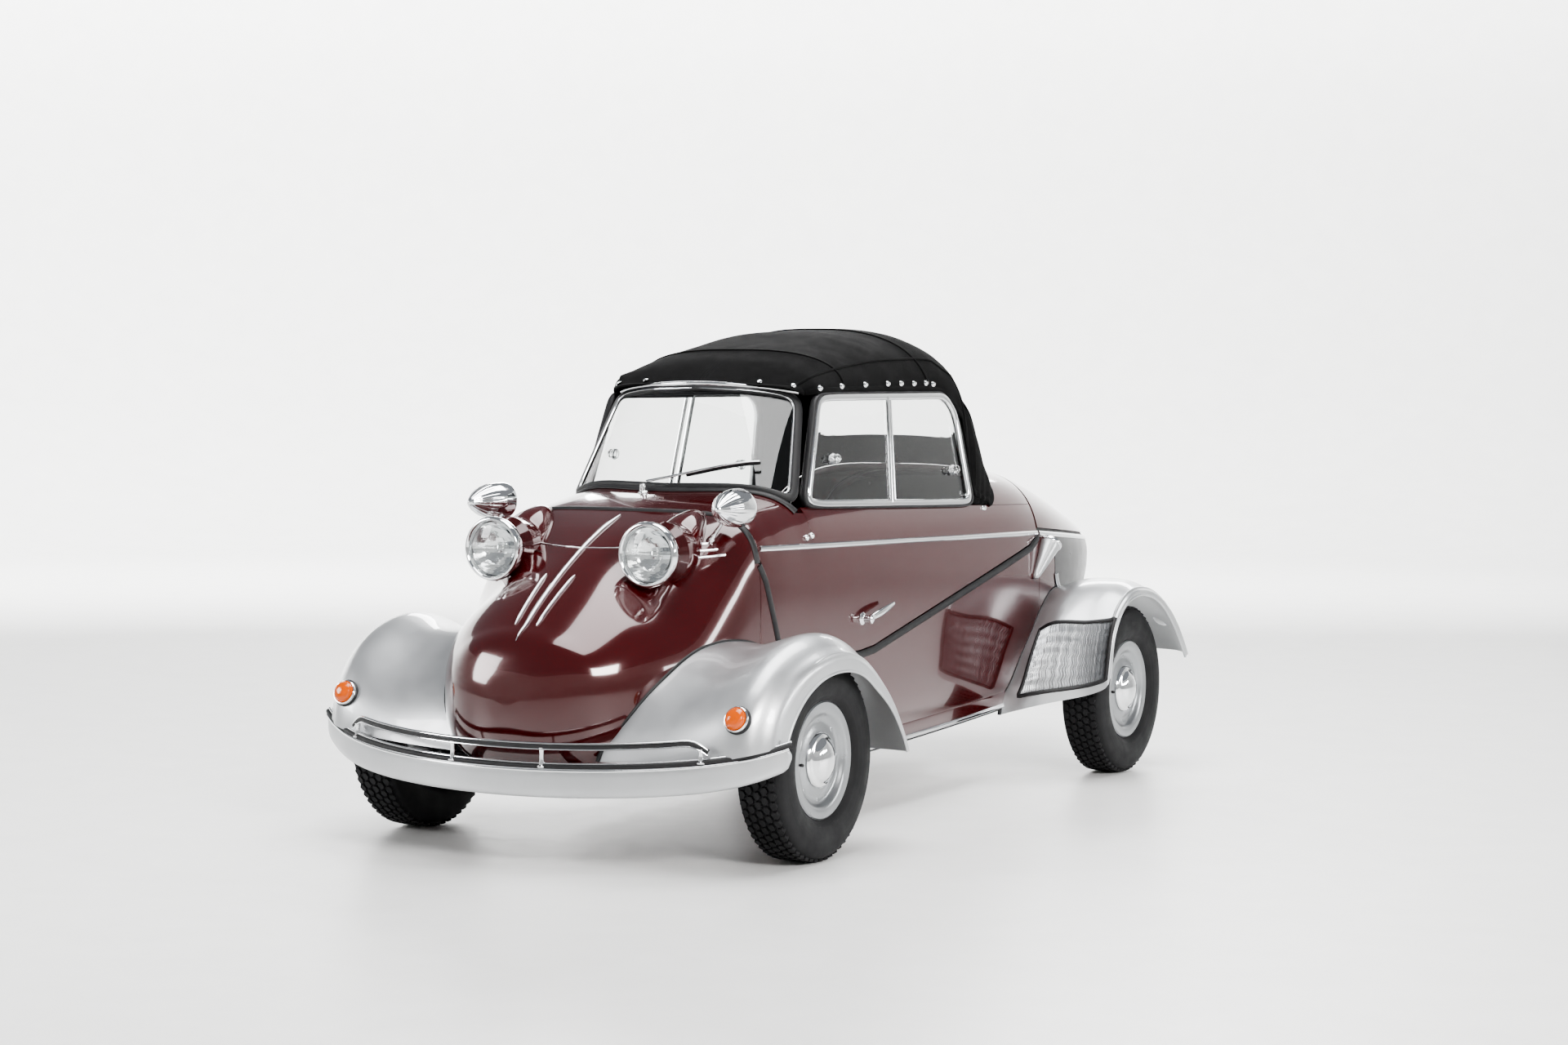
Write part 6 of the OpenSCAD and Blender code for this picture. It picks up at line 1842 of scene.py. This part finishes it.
@dataclass
class Cushion:
    """A stuffed vinyl cushion: a crowned closed form with sewn channels."""

    name: str
    middle: tuple[float, float, float]
    size: tuple[float, float, float]
    tilt: float
    channels: int
    crown: float = 16.0

    def build(self, replaces: tuple[str, ...] = ()) -> None:
        """Makes the cushion.

        The form is a superellipsoid, squarer in plan than in height. Its top swells by a crown that falls to
        the edges, less a groove of cosine to a high power at each channel, and its sides draw in between
        its corners.
        """
        around = np.linspace(0, 360, 140, endpoint=False)
        u, v = outer_product(np.radians(np.linspace(-90, 90, 56)), np.radians(around))
        w, d, h = np.array(self.size) / 2
        flat = 0.42
        x = w * spow(np.cos(u), flat) * spow(np.cos(v), 0.34)
        y = d * spow(np.cos(u), flat) * spow(np.sin(v), 0.34)
        z = h * spow(np.sin(u), 0.75)
        x *= 1 - 0.03 * np.cos(np.clip(y / d, -1, 1) * math.pi / 2) ** 2
        y *= 1 - 0.03 * np.cos(np.clip(x / w, -1, 1) * math.pi / 2) ** 2
        inside = np.cos(np.clip(x / w, -1, 1) * math.pi / 2) * np.cos(np.clip(y / d, -1, 1) * math.pi / 2)
        groove = np.abs(np.cos(math.pi * self.channels * (x / w + 1) / 2)) ** 14
        rise = self.crown * np.maximum(inside, 0) ** 0.6 - 9 * groove * np.clip(inside * 6, 0, 1)
        z = z + np.where(z > 0, rise, 0) * np.clip(z / h, 0, 1)
        turn = np.array(Matrix.Rotation(math.radians(self.tilt), 3, "X"))
        grid = stack(x, y, z) @ turn.T + np.array(self.middle)
        piece = Piece(self.name, replaces=replaces)
        piece.add(grid, VINYL, closed=True)
        rim = np.linspace(0, 2 * math.pi, 200, endpoint=False)
        ring = stack(w * 0.995 * spow(np.cos(rim), 0.34), d * 0.995 * spow(np.sin(rim), 0.34),
                     0 * rim + h * 0.34)
        ring = ring @ turn.T + np.array(self.middle)
        piece.strip(ring, ellipse(7, 7), turn @ np.array([0, 0, 1.0]), VINYL, loop=True)
        piece.make(crease=70)


@dataclass
class Cabin:
    """What shows through the glass: seats, dashboard, steering bar and column."""

    shape: Shape

    def build(self) -> None:
        """Makes the cabin."""
        self.seats()
        self.dashboard()
        self.steering()

    def seats(self) -> None:
        """Two seats in a row: cushions and backrests over painted plinths."""
        s = self.shape
        for name, node, y, length, z, back, width in (
            ("front", "front_seat", 690, 430, 60, 360, 480),
            ("rear", "rear_seat", 1240, 400, 120, 300, 520)):
            y0, z0 = s.front_axle_y + y, s.axle_z + z
            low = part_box(node)[0] / MM
            base = Piece(f"{name}_seat_base", replaces=(node,))
            base.block([-width / 2 + 42, y0 + 32, low.z], [width / 2 - 42, y0 + length - 32, z0 + 12], BLACK,
                       10)
            base.make()
            Cushion(f"{name}_cushion", (0, y0 + length / 2 - 12, z0 + 58), (width, length - 30, 104), 0,
                    5).build()
            lean = math.radians(12)
            mid = (0, y0 + length - 20 + math.sin(lean) * back / 2, z0 + 116 + math.cos(lean) * back / 2)
            Cushion(f"{name}_backrest", mid, (width - 6, back, 84), 90 - 12, 5).build()

    def dashboard(self) -> None:
        """The dashboard: a padded board with one dial and two switches."""
        s = self.shape
        y, z = s.front_axle_y + 395, s.axle_z + 440
        piece = Piece("dashboard_panel", replaces=("dashboard",))
        piece.block([-260, y, z], [260, y + 26, z + 90], VINYL, 12)
        wall_x = float(s.x_at(np.array(y), np.array(z + 34))) - s.wall - 1
        piece.block([-wall_x, y + 2, z + 10], [-255, y + 24, z + 34], BLACK, 4)
        at = placement([0, y + 24, z + 46], [0, 1, 0.0])
        piece.turned([[42, 0], [42, 6], [38, 9], [36, 7], [35, 4]], at, CHROME, 64, 1)
        piece.turned([[35.5, 2], [35, 4.5], [0.2, 4.6]], at, SILVER, 48)
        for x in (-120, -80, 80, 120):
            knob = placement([x, y + 24, z + 44], [0, 1, 0])
            piece.turned([[11, 0], [11, 3], [7, 6], [8, 16], [5, 19], [0.2, 19.5]], knob, CHROME, 32, 1)
        hand = placement([0, y + 30, z + 46], [0.6, 0, 1], [0, 1, 0])
        piece.turned([[1.2, -6], [0.8, 22], [0.1, 26]], hand, RED, 8)
        piece.make()

    def steering(self) -> None:
        """The column with its box, and the steering bar with grips."""
        s = self.shape
        tilt = math.radians(-52)
        hub = np.array([0, s.front_axle_y + 525, s.axle_z + 470])
        axis = np.array([0, -math.sin(tilt), math.cos(tilt)])
        column = Piece("column_tube", replaces=("steering_column",))
        down = placement(hub, -axis, [1, 0, 0])
        column.turned([[16, 20], [20, 22], [20, 60], [17, 66], [17, 690], [14, 698]], down, BLACK, 32, 4)
        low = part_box("steering_column")[0] / MM
        column.block([-40, low.y, low.z], [40, low.y + 90, low.z + 70], CAST, 10)
        column.make()
        bar = Piece("steering_handlebar", "steering", ("steering_bar",))
        up = placement(hub, axis, [1, 0, 0])
        bar.turned([[24, -18], [26, -15], [26, 16], [22, 20], [12, 21], [0.2, 22]], up, VINYL, 48, 1.5)
        x = np.linspace(-178, 178, 90)
        path = hub + x[:, None] * np.array([1.0, 0, 0]) + 8 * axis
        bar.strip(path, ellipse(20, 20, 20), axis, CHROME)
        for sign in (1, -1):
            grip = np.linspace(108, 188, 60)
            path = hub + sign * grip[:, None] * np.array([1.0, 0, 0]) + 8 * axis
            wave = 1 + 0.045 * np.cos(grip * 0.9)
            bar.strip(path, ellipse(24, 24, 24), axis, RUBBER, wave)
        bar.make()


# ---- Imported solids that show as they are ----

DRESSED = {
    BLACK: ("rear_bulkhead", "front_axle", "rear_axle", "knuckle_left", "knuckle_right"),
    CHROME: ("tow_eye",),
    CAST: ("engine", "hinge_brackets", "canopy_hinge_leaves", "lid_hinge_leaves"),
}


def dress_packed(nodes: dict[str, bpy.types.Object]) -> None:
    """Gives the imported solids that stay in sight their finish.

    Args:
        nodes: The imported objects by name.
    """
    for finish, names in DRESSED.items():
        for name in names:
            mesh = nodes[name].data
            mesh.materials.clear()
            mesh.materials.append(finish.material())
            LOG.info("%s: %s", name, finish.name)


# ---- Studio ----


@dataclass
class Studio:
    """A pale round floor that rises into a backdrop, soft lights and the camera."""

    radius: float = 15.0
    wall: float = 7.0
    eye: tuple[float, float, float] = (4.0171, -7.3572, 1.1785)
    yaw: float = 28.995
    pitch: float = -2.938
    roll: float = 0.0053
    lens: float = 70.15

    def build(self) -> None:
        """Makes the studio."""
        self.floor()
        self.lights()
        self.camera()

    def floor(self) -> None:
        """The floor: a disc whose rim turns up into a wall along a quarter circle."""
        bend = 4.0
        turn = np.radians(np.linspace(0, 90, 24))
        flat = self.radius - bend
        r = np.concatenate([[0.0001], np.linspace(0.5, flat, 12), flat + bend * np.sin(turn[1:]),
                            [self.radius]])
        z = np.concatenate([np.zeros(13), bend - bend * np.cos(turn[1:]), [self.wall]])
        rho, a = outer_product(r, np.radians(np.arange(96) * 3.75))
        grid = stack(rho * np.cos(a), rho * np.sin(a), np.repeat(z[:, None], 96, 1))
        mesh = bpy.data.meshes.new("studio_floor")
        i, j = outer_product(np.arange(len(r) - 1), np.arange(96))
        k = (j + 1) % 96
        quads = np.stack([i * 96 + j, (i + 1) * 96 + j, (i + 1) * 96 + k, i * 96 + k], -1).reshape(-1, 4)
        mesh.from_pydata(grid.reshape(-1, 3).tolist(), [], quads.tolist())
        mesh.materials.append(FLOOR.material())
        mesh.shade_smooth()
        obj = bpy.data.objects.new("studio_floor", mesh)
        bpy.context.scene.collection.objects.link(obj)

    def _area(self, name: str, at: tuple[float, float, float], aim: tuple[float, float, float],
              size: tuple[float, float], power: float, warmth: float = 1.0) -> None:
        """One soft box that faces a point."""
        light = bpy.data.lights.new(name, "AREA")
        light.shape = "RECTANGLE"
        light.size, light.size_y = size
        light.energy = power
        light.color = (1.0, (1 + warmth) / 2, warmth)
        obj = bpy.data.objects.new(name, light)
        place = Vector(at)
        turn = (Vector(aim) - place).to_track_quat("-Z", "Y").to_matrix().to_4x4()
        obj.matrix_world = Matrix.Translation(place) @ turn
        bpy.context.scene.collection.objects.link(obj)

    def lights(self) -> None:
        """A broad top light, a key from the front left, a strip for the side and a soft rim behind."""
        self._area("top_light", (0.5, 0.0, 5.2), (0, 0, 0.6), (6.5, 3.0), 420)
        self._area("key_light", (6.0, -5.0, 4.2), (0, -0.3, 0.7), (2.6, 1.6), 520, 0.96)
        self._area("side_strip", (6.5, 2.2, 1.9), (0.3, 0.2, 0.7), (4.5, 0.6), 150)
        self._area("fill_light", (-6.0, -6.0, 3.4), (0, -0.6, 0.6), (2.4, 2.4), 260)
        self._area("backdrop_left", (-1.5, 6.5, 5.0), (-6, 14, 2.5), (6.0, 2.0), 1500)
        self._area("backdrop_right", (-6.5, 3.0, 5.0), (-13, 8, 2.5), (6.0, 2.0), 1500)
        self._area("rim_light", (-3.0, 7.0, 4.2), (0, 0.6, 0.8), (5.0, 1.2), 260)
        world = bpy.data.worlds.new("studio_air")
        world.use_nodes = True
        sky = world.node_tree.nodes["Background"]
        sky.inputs["Color"].default_value = (0.82, 0.85, 0.9, 1)
        sky.inputs["Strength"].default_value = 0.3
        bpy.context.scene.world = world
        bpy.context.scene.view_settings.view_transform = "AgX"
        bpy.context.scene.view_settings.look = "AgX - Medium High Contrast"

    def camera(self) -> None:
        """A camera at standing height, a little right of straight ahead of the car's left headlight."""
        yaw, pitch = math.radians(self.yaw), math.radians(self.pitch)
        ahead = Vector((-math.sin(yaw) * math.cos(pitch), math.cos(yaw) * math.cos(pitch), math.sin(pitch)))
        right = ahead.cross(Vector((0, 0, 1))).normalized()
        up = right.cross(ahead)
        c, s = math.cos(self.roll), math.sin(self.roll)
        right, up = right * c + up * s, up * c - right * s
        turn = Matrix((right, up, -ahead)).transposed().to_4x4()
        camera = bpy.data.cameras.new("camera")
        camera.lens = self.lens
        camera.sensor_width = 36.0
        obj = bpy.data.objects.new("camera", camera)
        obj.matrix_world = Matrix.Translation(self.eye) @ turn
        bpy.context.scene.collection.objects.link(obj)
        bpy.context.scene.camera = obj


def front_mudguard(shape: Shape, bumper: Bumper) -> Mudguard:
    """The front mudguards, which start where they meet the top of the bumper."""
    front = Mudguard(
        shape, "front", shape.front_axle_y, 24, lambda t: 0 * t, 182,
        Curve([[-4, 132], [20, 96], [45, 62], [70, 42], [90, 30], [110, 28], [140, 34], [165, 84],
               [182, 124]]),
        Curve([[-4, 124], [20, 92], [45, 62], [70, 42], [90, 28], [110, 26], [140, 36], [165, 80],
               [182, 120]]),
        Curve([[-4, 98], [20, 104], [45, 88], [70, 68], [90, 60], [110, 58], [140, 64], [165, 94],
               [182, 124]]),
        Curve([[-4, 62], [20, 68], [45, 56], [70, 34], [90, 26], [110, 26], [140, 36], [165, 74],
               [182, 118]]),
        Curve([[-4, 4], [20, -4], [45, -12], [62, -19], [90, -28], [115, -22], [140, -6], [165, 46],
               [182, 96]]),
        0.72, 62)

    def meets_bumper(t: Array) -> Array:
        """Angle at which the front mudguard meets the top of the bumper."""
        p = front.point(np.full_like(t, 5.0), t)
        reach = np.hypot(p[..., 1] - shape.front_axle_y, p[..., 2] - shape.axle_z)
        rise = bumper.top(p[..., 0] / (shape.guard_x + 2)) + 2.3 - shape.axle_z
        return np.degrees(np.arcsin(rise / reach))

    front.start = meets_bumper
    return front


def rear_mudguard(shape: Shape) -> Mudguard:
    """The rear mudguards, whose front edge leans back toward the lip."""
    return Mudguard(
        shape, "rear", shape.rear_axle_y, 10, lambda t: 20 * t - 8, 166,
        Curve([[-8, 140], [17, 62], [38, 22], [60, 26], [80, 44], [100, 48], [130, 90], [150, 114],
               [170, 134]]),
        Curve([[-8, 120], [20, 98], [45, 84], [65, 80], [90, 75], [120, 78], [150, 106], [170, 134]]),
        Curve([[-8, 50], [20, 54], [45, 78], [65, 84], [90, 76], [120, 70], [150, 100], [170, 130]]),
        Curve([[-8, 32], [20, 38], [45, 70], [65, 74], [90, 56], [120, 50], [150, 78], [170, 112]]),
        Curve([[-8, 22], [18, 20], [32, 41], [45, 56], [58, 60], [73, 48], [90, 32], [114, 19], [134, 18],
               [151, 31],
              [165, 58], [170, 72]]),
        0.66, 40)


def main() -> None:
    """Builds the car's looks in order and logs each piece."""
    logging.basicConfig(level=logging.INFO, format="%(message)s")
    shape = Shape.from_frame()
    bumper = Bumper(shape)
    front, rear = front_mudguard(shape, bumper), rear_mudguard(shape)
    FixedBody(shape).build()
    front.build()
    # Where the mesh starts and ends, as shares of the way round the wheel and then across the profile.
    mesh = (0.035, 0.25, 0.1, 0.7)
    rear.build(mesh)
    rear.mesh_panels(*mesh)
    bumper.build()
    Lamps(shape, front, rear).build()
    Fittings(shape).build()
    for place, body in (("front_left", "wheel_front_left"), ("front_right", "wheel_front_right"),
                        ("rear_left", "wheel_rear_left"), ("rear_right", "wheel_rear_right")):
        Wheel(place, body, place).build()
    canopy = Canopy(shape)
    canopy.build()
    FoldingTop(canopy).build()
    Cabin(shape).build()
    dress_packed(frame["nodes"])
    Studio().build()


if __name__ == "__main__":
    main()
